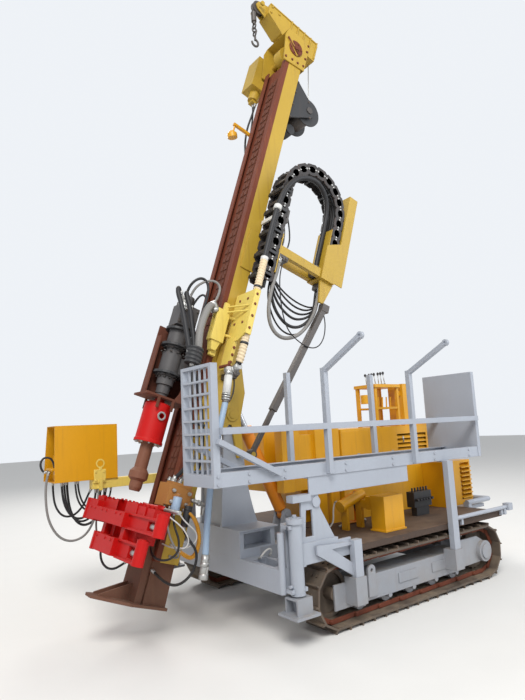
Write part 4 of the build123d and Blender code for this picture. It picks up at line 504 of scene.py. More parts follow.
# Loose hoses: name, look, body, radius, lay, length and route, in metres. A route on the mast or the carriage
# is (back, side, up) of the leaned mast, any other one is in the machine's frame.
mastHoses = [
    ("hose_feed_upper", "hose", "mast", 0.028, "loose", 3.67,
     [(0.858, -0.325, 3.7), (0.858, -0.325, 3.84), (0.86, -0.326, 4.05), (0.86, -0.332, 4.28), (0.835, -0.352, 4.47),
      (0.75, -0.388, 4.6), (0.6, -0.425, 4.655), (0.44, -0.462, 4.61), (0.3, -0.468, 4.52), (0.19, -0.475, 4.35),
      (0.135, -0.482, 4.14), (0.12, -0.484, 3.9), (0.117, -0.486, 3.6), (0.116, -0.489, 3.2), (0.116, -0.49, 2.8),
      (0.118, -0.488, 2.5), (0.12, -0.476, 2.4), (0.121, -0.44, 2.345), (0.12, -0.408, 2.332)]),
    ("hose_trough_1", "greyHose", "mast", 0.019, "hanging", 1.84,
     [(0.335, -0.408, 3.605), (0.342, -0.409, 3.48), (0.322, -0.412, 3.3), (0.318, -0.414, 3.12),
      (0.36, -0.415, 2.94), (0.46, -0.41, 2.84), (0.6, -0.4, 2.83), (0.76, -0.385, 2.93), (0.88, -0.36, 3.1),
      (0.945, -0.345, 3.28), (0.952, -0.34, 3.4), (0.952, -0.34, 3.5), (0.952, -0.34, 3.602)]),
    ("hose_trough_2", "hose", "mast", 0.016, "hanging", 1.56,
     [(0.372, -0.385, 3.618), (0.36, -0.385, 3.56), (0.338, -0.385, 3.48), (0.315, -0.383, 3.28), (0.4, -0.38, 3.11),
      (0.52, -0.375, 3.02), (0.66, -0.365, 2.99), (0.8, -0.35, 3.05), (0.91, -0.335, 3.19), (0.962, -0.325, 3.32),
      (0.966, -0.322, 3.4), (0.966, -0.322, 3.5), (0.966, -0.322, 3.602)]),
    ("hose_trough_3", "hose", "mast", 0.013, "hanging", 1.35,
     [(0.335, -0.352, 3.605), (0.344, -0.352, 3.49), (0.345, -0.351, 3.31), (0.44, -0.35, 3.19), (0.57, -0.345, 3.12),
      (0.71, -0.335, 3.1), (0.85, -0.325, 3.17), (0.95, -0.315, 3.28), (0.978, -0.31, 3.4), (0.978, -0.31, 3.5),
      (0.978, -0.31, 3.602)]),
    ("hose_trough_4", "hose", "mast", 0.011, "hanging", 1.21,
     [(0.335, -0.322, 3.605), (0.35, -0.322, 3.5), (0.37, -0.321, 3.36), (0.48, -0.318, 3.25), (0.63, -0.312, 3.19),
      (0.78, -0.305, 3.19), (0.91, -0.298, 3.26), (0.975, -0.294, 3.34), (0.986, -0.292, 3.4), (0.986, -0.292, 3.5),
      (0.986, -0.292, 3.602)]),
    ("hose_trough_5", "hose", "mast", 0.01, "hanging", 1.09,
     [(0.335, -0.295, 3.605), (0.358, -0.295, 3.51), (0.4, -0.294, 3.4), (0.53, -0.291, 3.31), (0.69, -0.286, 3.26),
      (0.84, -0.28, 3.27), (0.95, -0.275, 3.33), (0.99, -0.272, 3.4), (0.99, -0.272, 3.5), (0.99, -0.272, 3.602)]),
    ("hose_trough_6", "hose", "mast", 0.009, "hanging", 1.01,
     [(0.368, -0.262, 3.618), (0.359, -0.268, 3.52), (0.42, -0.266, 3.43), (0.57, -0.263, 3.36), (0.74, -0.26, 3.33),
      (0.89, -0.256, 3.34), (0.97, -0.253, 3.37), (0.995, -0.252, 3.4), (0.995, -0.252, 3.5),
      (0.995, -0.252, 3.602)]),
    ("hose_trough_7", "hose", "mast", 0.009, "hanging", 1.68,
     [(0.337, -0.372, 3.605), (0.318, -0.368, 3.48), (0.305, -0.358, 3.23), (0.42, -0.335, 3.05),
      (0.56, -0.328, 2.94), (0.72, -0.318, 2.93), (0.86, -0.302, 3.02), (0.945, -0.286, 3.18), (0.965, -0.278, 3.32),
      (0.966, -0.276, 3.4), (0.958, -0.27, 3.5), (0.955, -0.268, 3.602)]),
    ("cable_trough", "hose", "mast", 0.006, "hanging", 1.76,
     [(0.375, -0.424, 3.62), (0.356, -0.428, 3.46), (0.4, -0.435, 3.26), (0.48, -0.44, 3.06), (0.58, -0.44, 2.92),
      (0.72, -0.44, 2.86), (0.88, -0.44, 2.84), (1, -0.44, 2.89), (1.06, -0.435, 3.02), (1.05, -0.425, 3.18),
      (1.005, -0.4, 3.31), (0.985, -0.37, 3.39), (0.975, -0.366, 3.44)]),
    ("cable_loop_1", "hose", "mast", 0.008, "hanging", 0.39,
     [(0.309, -0.4, 4.1), (0.347, -0.402, 4.02), (0.392, -0.405, 3.9), (0.409, -0.405, 3.8), (0.397, -0.4, 3.73)]),
    ("cable_loop_2", "greyHose", "mast", 0.006, "hanging", 0.36,
     [(0.262, -0.37, 4.06), (0.332, -0.371, 3.98), (0.357, -0.372, 3.87), (0.362, -0.372, 3.79),
      (0.352, -0.37, 3.73)]),
    ("cable_loop_3", "hose", "mast", 0.007, "hanging", 0.34,
     [(0.262, -0.33, 4.02), (0.337, -0.332, 3.95), (0.372, -0.334, 3.86), (0.382, -0.333, 3.79),
      (0.377, -0.362, 3.725)]),
    ("hose_side_1", "hose", "mast", 0.017, "hanging", 1.07,
     [(-0.285, -0.385, 2.28), (-0.262, -0.385, 2.11), (-0.191, -0.385, 1.9), (-0.095, -0.38, 1.63),
      (-0.06, -0.365, 1.46), (-0.078, -0.31, 1.36), (-0.1, -0.268, 1.31), (-0.102, -0.258, 1.275)]),
    ("hose_side_2", "greyHose", "mast", 0.015, "hanging", 1.07,
     [(-0.245, -0.375, 2.28), (-0.222, -0.375, 2.11), (-0.14, -0.375, 1.92), (-0.04, -0.37, 1.66), (0, -0.36, 1.48),
      (-0.02, -0.31, 1.37), (-0.042, -0.27, 1.31), (-0.044, -0.26, 1.275)]),
    ("hose_side_3", "hose", "mast", 0.014, "hanging", 1.09,
     [(-0.258, -0.362, 2.28), (-0.176, -0.365, 2.11), (-0.083, -0.365, 1.95), (0.017, -0.362, 1.68),
      (0.062, -0.35, 1.49), (0.058, -0.305, 1.38), (0.042, -0.268, 1.31), (0.04, -0.258, 1.275)]),
    ("hose_foot_spiral", "amber", "mast", 0.013, "hanging", 0.62,
     [(0.045, -0.285, 1.076), (0.06, -0.345, 1.07), (0.105, -0.395, 1.03), (0.17, -0.4, 0.94), (0.205, -0.39, 0.84),
      (0.215, -0.36, 0.76), (0.205, -0.31, 0.72), (0.18, -0.25, 0.73), (0.15, -0.203, 0.75)]),
    ("hose_foot_white_1", "pale", "mast", 0.006, "loose", 0.74,
     [(-0.125, -0.262, 1.076), (-0.125, -0.3, 1.03), (-0.1, -0.38, 0.99), (-0.05, -0.42, 0.965), (0.02, -0.43, 0.925),
      (0.085, -0.43, 0.86), (0.08, -0.42, 0.8), (0.04, -0.39, 0.78), (0, -0.32, 0.775), (-0.02, -0.24, 0.78),
      (-0.03, -0.152, 0.79)]),
    ("hose_foot_white_2", "pale", "mast", 0.006, "loose", 0.62,
     [(-0.02, -0.285, 1.076), (-0.005, -0.34, 1.03), (0.03, -0.4, 0.985), (0.085, -0.43, 0.955), (0.14, -0.43, 0.92),
      (0.155, -0.42, 0.86), (0.12, -0.4, 0.81), (0.09, -0.34, 0.785), (0.06, -0.27, 0.78), (0.05, -0.203, 0.79)]),
    ("hose_foot_black_1", "hose", "mast", 0.009, "loose", 0.78,
     [(-0.058, -0.328, 1.04), (-0.058, -0.345, 0.98), (-0.05, -0.4, 0.92), (-0.02, -0.45, 0.85), (0, -0.455, 0.76),
      (-0.05, -0.44, 0.69), (-0.12, -0.41, 0.67), (-0.165, -0.36, 0.69), (-0.16, -0.29, 0.73), (-0.13, -0.22, 0.76),
      (-0.09, -0.152, 0.77)]),
    ("hose_foot_black_2", "hose", "mast", 0.011, "loose", 0.81,
     [(0.062, -0.328, 0.95), (0.066, -0.345, 0.91), (0.1, -0.4, 0.86), (0.16, -0.44, 0.8), (0.19, -0.44, 0.72),
      (0.18, -0.43, 0.62), (0.14, -0.4, 0.54), (0.09, -0.35, 0.5), (0.04, -0.28, 0.51), (0, -0.22, 0.54),
      (-0.03, -0.152, 0.57)]),
    ("hose_foot_black_3", "greyHose", "mast", 0.008, "loose", 0.71,
     [(-0.09, -0.29, 1.076), (-0.12, -0.34, 1.04), (-0.15, -0.41, 0.97), (-0.12, -0.45, 0.87), (-0.05, -0.46, 0.79),
      (0.02, -0.43, 0.74), (0.06, -0.36, 0.71), (0.07, -0.28, 0.7), (0.07, -0.203, 0.7)]),
    ("hose_clamp_1", "hose", "mast", 0.01, "hanging", 0.51,
     [(-0.3, 0.275, 0.69), (-0.3, 0.33, 0.67), (-0.29, 0.38, 0.6), (-0.26, 0.36, 0.52), (-0.22, 0.3, 0.48),
      (-0.18, 0.24, 0.49), (-0.155, 0.19, 0.53), (-0.118, 0.152, 0.58)]),
    ("hose_clamp_2", "greyHose", "mast", 0.009, "hanging", 0.84,
     [(-0.29, 0.655, 0.92), (-0.29, 0.7, 0.89), (-0.27, 0.72, 0.8), (-0.24, 0.68, 0.7), (-0.2, 0.56, 0.63),
      (-0.17, 0.42, 0.62), (-0.15, 0.28, 0.65), (-0.14, 0.2, 0.7), (-0.135, 0.155, 0.76)]),
    ("hose_motor_1", "hose", "mast", 0.012, "hanging", 1.24,
     [(-0.038, 0.295, 5.732), (-0.03, 0.31, 5.6), (-0.04, 0.33, 5.42), (-0.02, 0.335, 5.22), (0.02, 0.315, 5.04),
      (0.06, 0.28, 4.9), (0.085, 0.25, 4.78), (0.09, 0.235, 4.66), (0.09, 0.215, 4.52)]),
    ("hose_motor_2", "hose", "mast", 0.01, "hanging", 1.26,
     [(-0.05, 0.33, 5.732), (-0.01, 0.335, 5.62), (0.03, 0.35, 5.4), (0.05, 0.345, 5.2), (0.09, 0.315, 5.02),
      (0.12, 0.28, 4.88), (0.13, 0.25, 4.76), (0.13, 0.235, 4.64), (0.13, 0.215, 4.5)]),
    ("hose_supply", "paleBlue", "carriage", 0.027, "hanging", 1.66,
     [(0.081, -0.375, 2.327), (0.08, -0.403, 2.3), (0.08, -0.42, 2.24), (0.089, -0.434, 2.12), (0.1, -0.44, 2.02),
      (0.094, -0.452, 1.93), (0.088, -0.475, 1.72), (0.088, -0.505, 1.48), (0.112, -0.528, 1.22),
      (0.155, -0.532, 0.97), (0.205, -0.532, 0.76), (0.213, -0.532, 0.7)]),
    ("cable_bracket", "hose", "carriage", 0.007, "hanging", 0.38,
     [(0.1, -0.36, 2.36), (0.135, -0.385, 2.31), (0.17, -0.4, 2.23), (0.175, -0.41, 2.12), (0.145, -0.425, 2.04),
      (0.115, -0.435, 2.025)]),
    ("hose_head_1", "hose", "carriage", 0.022, "hanging", 0.88,
     [(-0.388, -0.085, 2.835), (-0.497, -0.142, 2.972), (-0.498, -0.165, 2.9), (-0.465, -0.2, 2.82),
      (-0.42, -0.25, 2.69), (-0.38, -0.315, 2.53), (-0.335, -0.365, 2.38), (-0.31, -0.38, 2.3)]),
    ("hose_head_2", "hose", "carriage", 0.022, "hanging", 0.85,
     [(-0.355, -0.09, 2.8), (-0.41, -0.14, 2.965), (-0.4, -0.17, 2.89), (-0.36, -0.205, 2.8), (-0.33, -0.265, 2.64),
      (-0.3, -0.325, 2.5), (-0.285, -0.37, 2.37), (-0.28, -0.385, 2.3)]),
    ("hose_head_fat", "greyHose", "carriage", 0.03, "hanging", 0.68,
     [(-0.127, -0.262, 2.845), (-0.17, -0.268, 2.895), (-0.222, -0.29, 2.84), (-0.265, -0.33, 2.68),
      (-0.28, -0.365, 2.55), (-0.262, -0.385, 2.42), (-0.245, -0.385, 2.3)]),
    ("hose_head_arc_1", "hose", "carriage", 0.013, "loose", 1.19,
     [(-0.36, -0.05, 2.93), (-0.375, -0.08, 3.02), (-0.345, -0.125, 3.11), (-0.285, -0.15, 3.15),
      (-0.225, -0.165, 3.11), (-0.205, -0.18, 3), (-0.23, -0.22, 2.86), (-0.27, -0.29, 2.68), (-0.285, -0.35, 2.5),
      (-0.27, -0.39, 2.38), (-0.262, -0.39, 2.3)]),
    ("hose_head_arc_2", "greyHose", "carriage", 0.012, "loose", 1.26,
     [(-0.32, -0.05, 2.93), (-0.325, -0.09, 3.03), (-0.27, -0.15, 3.12), (-0.18, -0.19, 3.16), (-0.115, -0.21, 3.12),
      (-0.12, -0.225, 3.01), (-0.18, -0.26, 2.86), (-0.24, -0.33, 2.68), (-0.26, -0.38, 2.52), (-0.255, -0.405, 2.4),
      (-0.25, -0.405, 2.3)]),
    ("hose_head_arc_3", "hose", "carriage", 0.01, "loose", 0.91,
     [(-0.29, -0.085, 2.84), (-0.285, -0.13, 2.93), (-0.255, -0.165, 2.99), (-0.215, -0.19, 2.96),
      (-0.21, -0.21, 2.87), (-0.245, -0.26, 2.72), (-0.275, -0.33, 2.55), (-0.275, -0.37, 2.42),
      (-0.27, -0.37, 2.3)]),
]
machineHoses = [
    ("hose_box_grey", "greyHose", "control_arm", 0.011, "hanging", 1.33,
     [(-2.782, 0.95, 1.335), (-2.812, 0.945, 1.27), (-2.818, 0.93, 1.06), (-2.79, 0.92, 0.88), (-2.7, 0.91, 0.73),
      (-2.58, 0.9, 0.68), (-2.46, 0.89, 0.72), (-2.38, 0.89, 0.84), (-2.34, 0.89, 0.98), (-2.33, 0.89, 1.14)]),
    ("hose_box_1", "hose", "control_arm", 0.011, "hanging", 0.75,
     [(-2.68, 0.9, 1.235), (-2.68, 0.9, 1.15), (-2.65, 0.9, 1), (-2.57, 0.9, 0.89), (-2.47, 0.9, 0.88),
      (-2.39, 0.9, 0.97), (-2.36, 0.9, 1.07), (-2.355, 0.9, 1.14)]),
    ("hose_box_2", "hose", "control_arm", 0.01, "hanging", 0.82,
     [(-2.64, 0.96, 1.235), (-2.64, 0.96, 1.15), (-2.61, 0.955, 0.97), (-2.53, 0.945, 0.85), (-2.42, 0.935, 0.85),
      (-2.34, 0.92, 0.95), (-2.31, 0.91, 1.06), (-2.305, 0.91, 1.14)]),
    ("hose_box_3", "hose", "control_arm", 0.012, "hanging", 0.91,
     [(-2.6, 1.01, 1.235), (-2.6, 1.01, 1.15), (-2.57, 1, 0.93), (-2.48, 0.98, 0.8), (-2.37, 0.955, 0.82),
      (-2.29, 0.93, 0.93), (-2.26, 0.915, 1.05), (-2.255, 0.91, 1.14)]),
    ("hose_box_4", "hose", "control_arm", 0.009, "hanging", 0.61,
     [(-2.56, 0.88, 1.235), (-2.56, 0.88, 1.16), (-2.53, 0.88, 1.03), (-2.46, 0.88, 0.95), (-2.37, 0.88, 0.95),
      (-2.3, 0.88, 1.02), (-2.28, 0.88, 1.09), (-2.278, 0.88, 1.14)]),
    ("hose_box_5", "hose", "control_arm", 0.009, "hanging", 0.64,
     [(-2.52, 0.93, 1.235), (-2.52, 0.93, 1.16), (-2.48, 0.925, 1.02), (-2.4, 0.92, 0.94), (-2.3, 0.912, 0.95),
      (-2.23, 0.905, 1.03), (-2.208, 0.9, 1.09), (-2.205, 0.9, 1.14)]),
    ("hose_box_6", "hose", "control_arm", 0.01, "hanging", 0.74,
     [(-2.72, 1.05, 1.235), (-2.72, 1.05, 1.15), (-2.7, 1.045, 1), (-2.63, 1.03, 0.9), (-2.53, 1.01, 0.9),
      (-2.45, 0.98, 0.99), (-2.42, 0.95, 1.08), (-2.4, 0.915, 1.142)]),
    ("hose_box_curl", "hose", "control_arm", 0.01, "loose", 0.39,
     [(-2.782, 1.03, 1.335), (-2.81, 1.03, 1.33), (-2.84, 1.03, 1.38), (-2.838, 1.03, 1.44), (-2.8, 1.03, 1.475),
      (-2.74, 1.02, 1.46), (-2.715, 1.01, 1.38), (-2.71, 1, 1.31)]),
    ("hose_recess", "pale", "chassis", 0.008, "loose", 0.22,
     [(-1.405, -0.605, 0.588), (-1.4, -0.635, 0.62), (-1.43, -0.645, 0.655), (-1.49, -0.65, 0.635),
      (-1.52, -0.645, 0.6), (-1.52, -0.615, 0.582)]),
    ("hose_deck_1", "hose", "chassis", 0.012, "loose", 0.46,
     [(-0.187, -0.475, 0.96), (-0.19, -0.44, 0.955), (-0.2, -0.43, 0.9), (-0.19, -0.45, 0.78), (-0.12, -0.46, 0.685),
      (-0.05, -0.42, 0.66), (0, -0.38, 0.66)]),
    ("hose_deck_2", "hose", "chassis", 0.01, "loose", 0.32,
     [(-0.331, -0.475, 0.917), (-0.33, -0.45, 0.91), (-0.31, -0.445, 0.82), (-0.32, -0.45, 0.74),
      (-0.36, -0.45, 0.68), (-0.42, -0.44, 0.66)]),
    ("hose_deck_3", "pale", "chassis", 0.008, "loose", 0.29,
     [(-0.475, -0.478, 0.902), (-0.475, -0.45, 0.895), (-0.5, -0.45, 0.82), (-0.505, -0.455, 0.75),
      (-0.53, -0.455, 0.69), (-0.58, -0.45, 0.665)]),
]
# Fittings at both ends of a hose: metres behind the end, radii ahead of it, radii across, sides
hoseEnd = {"ferrule": (0.004, 3.2, 1.22, 14), "nut": (0.006, 1.1, 1.5, 6)}
ends, cords = {}, {}
for name, look, body, radius, lay, length, route in mastHoses + machineHoses:
    points = [onMast(*place) if body in ("mast", "carriage") else Vector(place) for place in route]
    piece = hoseCurve(name, points, radius, look, body)
    walked = linePoints(points)
    cords[name] = {"piece": piece, "exit": points[0], "length": length, "radius": radius, "lay": lay}
    fittings = ends.setdefault(body, bmesh.new())
    for first, second in ((walked[0], walked[1]), (walked[-1], walked[-2])):
        inward = (second - first).normalized()
        for back, ahead, size, sides in (hoseEnd["ferrule"], hoseEnd["nut"]):
            rodInto(fittings, first - inward * back, first + inward * radius * ahead, radius * size, sides)
for body, fittings in ends.items():
    addPiece("hose_ends_" + body, fittings, "zinc", body, "bright_steel")
print("hoses made")


def ringInto(bm, centre, axis, inner, outer, thickness, sides=24):
    place, length = alongAxis(centre, Vector(centre) + Vector(axis).normalized() * thickness)
    rows = []
    for radius, height in ((inner, 0), (outer, 0), (outer, length), (inner, length)):
        rows.append([bm.verts.new(place @ Vector((radius * cos(2 * pi * step / sides),
                                                  radius * sin(2 * pi * step / sides), height)))
                     for step in range(sides)])
    for row, after in zip(rows, rows[1:] + rows[:1]):
        for step in range(sides):
            bm.faces.new((row[step], row[(step + 1) % sides], after[(step + 1) % sides], after[step]))


def plateInto(bm, centre, along, across, halfLength, halfWidth, thickness, sides=8):
    centre, along, across = Vector(centre), Vector(along).normalized(), Vector(across).normalized()
    normal = along.cross(across)
    outline = []
    for step in range(2 * sides):
        angle = pi * (step + 0.5) / sides
        shift = (halfLength - halfWidth) * (1 if cos(angle) > 0 else -1)
        outline.append(centre + along * (shift + halfWidth * cos(angle)) + across * halfWidth * sin(angle))
    lower = [bm.verts.new(place) for place in outline]
    upper = [bm.verts.new(place + normal * thickness) for place in outline]
    bm.faces.new(lower[::-1])
    bm.faces.new(upper)
    for step in range(len(outline)):
        after = (step + 1) % len(outline)
        bm.faces.new((lower[step], lower[after], upper[after], upper[step]))


# A tube with a rounded spiral rib: rise is the rib's height, pitch its distance along the hose
def ribbedInto(bm, points, radius, rise, pitch, sides=14, step=0.0055):
    walked, total = [0], 0.0
    for first, second in zip(points, points[1:]):
        total += (second - first).length
        walked.append(total)
    rings, number = [], 0
    for count in range(int(total / step) + 1):
        run = min(count * step, total - 1e-6)
        while walked[number + 1] < run:
            number += 1
        share = (run - walked[number]) / (walked[number + 1] - walked[number])
        place = points[number].lerp(points[number + 1], share)
        ahead = (points[number + 1] - points[number]).normalized()
        first = sideways.cross(ahead).normalized()
        second = ahead.cross(first).normalized()
        rings.append([])
        for corner in range(sides):
            angle = 2 * pi * corner / sides
            wave = 0.5 + 0.5 * cos(2 * pi * (run / pitch + corner / sides))
            reach = radius + rise * min(1, wave * 1.6)
            rings[-1].append(bm.verts.new(place + (first * cos(angle) + second * sin(angle)) * reach))
    for ring, after in zip(rings, rings[1:]):
        for corner in range(sides):
            nextCorner = (corner + 1) % sides
            face = bm.faces.new((ring[corner], ring[nextCorner], after[nextCorner], after[corner]))
            face.smooth = True
    bm.faces.new(rings[0][::-1])
    bm.faces.new(rings[-1])


# Makes each fitting of a table, on the mast where spot is onMast. Its rows are
#   is: look, body, slot        ribs: start, end, radius, rise, pitch, sides
#   rods: start, end, radius, sides, edge        blocks: low corner, high corner, edge
#   rings: centre, axis, inner, outer, thickness, sides        bolts: axis, radius, height, places
#   circles: centre, first and second side, axis, reach, count, turn, radius, height of the bolts
def makeFittings(table, spot):
    for name, fit in table.items():
        bm = bmesh.new()
        for start, end, radius, rise, pitch, sides in fit.get("ribs", ()):
            start, end = spot(*start), spot(*end)
            ribbedInto(bm, [start, start.lerp(end, 0.5), end], radius, rise, pitch, sides)
        for start, end, radius, sides, edge in fit.get("rods", ()):
            rodInto(bm, spot(*start), spot(*end), radius, sides, edge=edge)
        for low, high, edge in fit.get("blocks", ()):
            blockInto(bm, low, high, spot, edge)
        for centre, axis, inner, outer, thickness, sides in fit.get("rings", ()):
            ringInto(bm, spot(*centre), axis, inner, outer, thickness, sides)
        for axis, radius, height, places in fit.get("bolts", ()):
            for place in places:
                boltInto(bm, spot(*place), axis, radius, height)
        for centre, first, second, axis, reach, count, turn, radius, height in fit.get("circles", ()):
            for step in range(count):
                angle = 2 * pi * step / count + turn
                place = spot(*centre) + first * reach * cos(angle) + second * reach * sin(angle)
                boltInto(bm, place, axis, radius, height)
        addPiece(name, bm, *fit["is"])


# A stepped union for a table: a nut and the cap on it, between the four levels along its way
def union(foot, way, nut, cap, levels):
    low, high, capLow, capHigh = (Vector(foot) + Vector(way) * level for level in levels)
    return [(low, high, nut, 6, 0), (capLow, capHigh, cap, 12, 0)]


# Spiral guards over hoses
guards = {
    "hose_guard_feed": {"hose": "hose_feed_upper", "up": (2.4, 3.44), "radius": 0.031, "rise": 0.006,
                        "pitch": 0.03, "look": "cream", "body": "mast"},
    "hose_guard_foot": {"hose": "hose_foot_spiral", "up": (0.7, 1.04), "radius": 0.0145, "rise": 0.004,
                        "pitch": 0.018, "look": "amber", "body": "mast"},
    "hose_guard_fat": {"hose": "hose_head_fat", "up": (2.34, 2.9), "radius": 0.0315, "rise": 0.003,
                       "pitch": 0.014, "look": "greyHose", "body": "carriage"},
}
routes = {row[0]: row[6] for row in mastHoses}
for name, guard in guards.items():
    points = linePoints([onMast(*place) for place in routes[guard["hose"]]], 16)
    low, high = guard["up"]
    kept = [place for place in points if low <= (place - mastBase).dot(mastUp) <= high]
    bm = bmesh.new()
    ribbedInto(bm, kept, guard["radius"], guard["rise"], guard["pitch"])
    addPiece(name, bm, guard["look"], guard["body"], "hose_rubber")
print("guards made")


# The hose loop: link plates and rivets along the chain, clamps over its hoses
chainGear = {"loopAt": 0.6, "loopUp": 4.41, "middle": 0.367, "low": 3.3, "trough": 3.66, "near": -0.43,
             "far": -0.215, "front": 0.168, "links": (9, 9, 6), "farFrom": 0.32, "across": 0.041,
             "along": 0.044, "width": 0.036, "plate": 0.004, "rivetGap": 0.098}


def chainSpot(run, offset=0):
    climb = chainGear["loopUp"] - chainGear["low"]
    arc = pi * chainGear["middle"]
    reach = chainGear["middle"] + offset
    if run < climb:
        return chainGear["loopAt"] - reach, chainGear["low"] + run, 0.0
    if run < climb + arc:
        turn = (run - climb) / chainGear["middle"]
        return chainGear["loopAt"] - reach * cos(turn), chainGear["loopUp"] + reach * sin(turn), turn
    return chainGear["loopAt"] + reach, chainGear["loopUp"] - (run - climb - arc), pi


stretches = (chainGear["loopUp"] - chainGear["low"], pi * chainGear["middle"],
             chainGear["loopUp"] - chainGear["trough"])
linkRuns, begun = [], 0.0
for length, count in zip(stretches, chainGear["links"]):
    linkRuns += [begun + length * (number + 0.5) / count for number in range(count)]
    begun += length
bm, rivets = bmesh.new(), bmesh.new()
for run in linkRuns:
    back, up, turn = chainSpot(run)
    along = mastBack * sin(turn) + mastUp * cos(turn)
    across = mastBack * cos(turn) - mastUp * sin(turn)
    for side, outward in ((chainGear["near"], -1), (chainGear["far"], 1)):
        if outward > 0 and back < chainGear["farFrom"]:
            continue
        middle = onMast(back, side, up)
        if outward > 0:
            plateInto(bm, middle, across, along, chainGear["across"], chainGear["across"], chainGear["plate"])
        else:
            plateInto(bm, middle, along, across, chainGear["along"], chainGear["width"], chainGear["plate"])
        for share in (-0.5, 0.5):
            boltInto(rivets, middle + along * share * chainGear["rivetGap"] + sideways * outward * 0.002,
                     sideways * outward, 0.008, 0.005)
addPiece("chain_link_plates", bm, "linkRust", "mast", "rust_steel")
addPiece("chain_rivets", rivets, "zinc", "mast", "bright_steel")

bm, front = bmesh.new(), chainGear["front"]
for up, height in ((3.36, 0.02), (3.6, 0.024), (3.84, 0.02), (4.1, 0.026), (4.33, 0.02)):
    blockInto(bm, (front - 0.016, -0.44, up - height), (front + 0.002, -0.208, up + height), onMast, 0.004)
    for side in (-0.452, -0.209):
        blockInto(bm, (front - 0.014, side, up - height * 0.7), (front + 0.1, side + 0.012, up + height * 0.7),
                  onMast, 0.003)
    for side in (-0.4, -0.32, -0.24):
        boltInto(bm, onMast(front - 0.016, side, up), -mastBack, 0.01, 0.008)
for run in (1.3, 1.62, 1.94):
    back, up, turn = chainSpot(run, -0.073)
    rodInto(bm, onMast(back, -0.412, up), onMast(back, -0.233, up), 0.01, 8)
addPiece("chain_hose_clamps", bm, "black", "mast", "black_paint")


# Fittings on the mast: blocks that the hoses leave, collars, straps, valve unions, bolts of head, jib and winch
footNuts = [(-0.1, -0.301, 1.12), (-0.03, -0.301, 1.12), (0.04, -0.301, 1.12), (-0.1, -0.301, 1.21),
            (0.05, -0.301, 1.21)]
footCaps = [((-0.11, -0.2, 1.279), 0.02), ((0.06, -0.18, 1.279), 0.024), ((-0.06, -0.15, 1.279), 0.016)]
jaws = {"rows": ((0.41, 0.548, -0.32, 1.05), (0.118, 0.372, -0.306, 1.038), (-0.196, -0.03, -0.306, 1.044),
                 (-0.47, -0.338, -0.31, 1.032), (-0.022, 0.119, -0.31, 1.052),
                 (-0.33, -0.197, -0.314, 1.046)),
        "shares": (0.22, 0.78), "asides": (-0.036, 0.036)}
head = {"cheek": 0.2145, "jib": 0.086, "winch": 0.164,
        "cheekBolts": ((-0.07, 6.09), (0.02, 6.11), (0.1, 6.12), (0.18, 6.14), (0.185, 6.25), (0.185, 6.36),
                       (0.185, 6.45)),
        "jibBolts": ((-0.33, 6.64), (-0.33, 6.72), (-0.22, 6.7), (0.37, 6.52), (0.37, 6.7)),
        "winchBolts": ((0.2, 5.45), (0.2, 5.62), (0.2, 5.8), (0.2, 5.94), (0.4, 5.8), (0.46, 5.61))}
supply = {"from": Vector((0.09, -0.436, 2.1)), "to": Vector((0.098, -0.439, 2.035)), "length": 0.016}
supplyWay = (supply["to"] - supply["from"]).normalized() * supply["length"]
supplyRings = [supply["from"].lerp(supply["to"], share) for share in (0, 0.32, 0.64)]
both = (-1, 1)
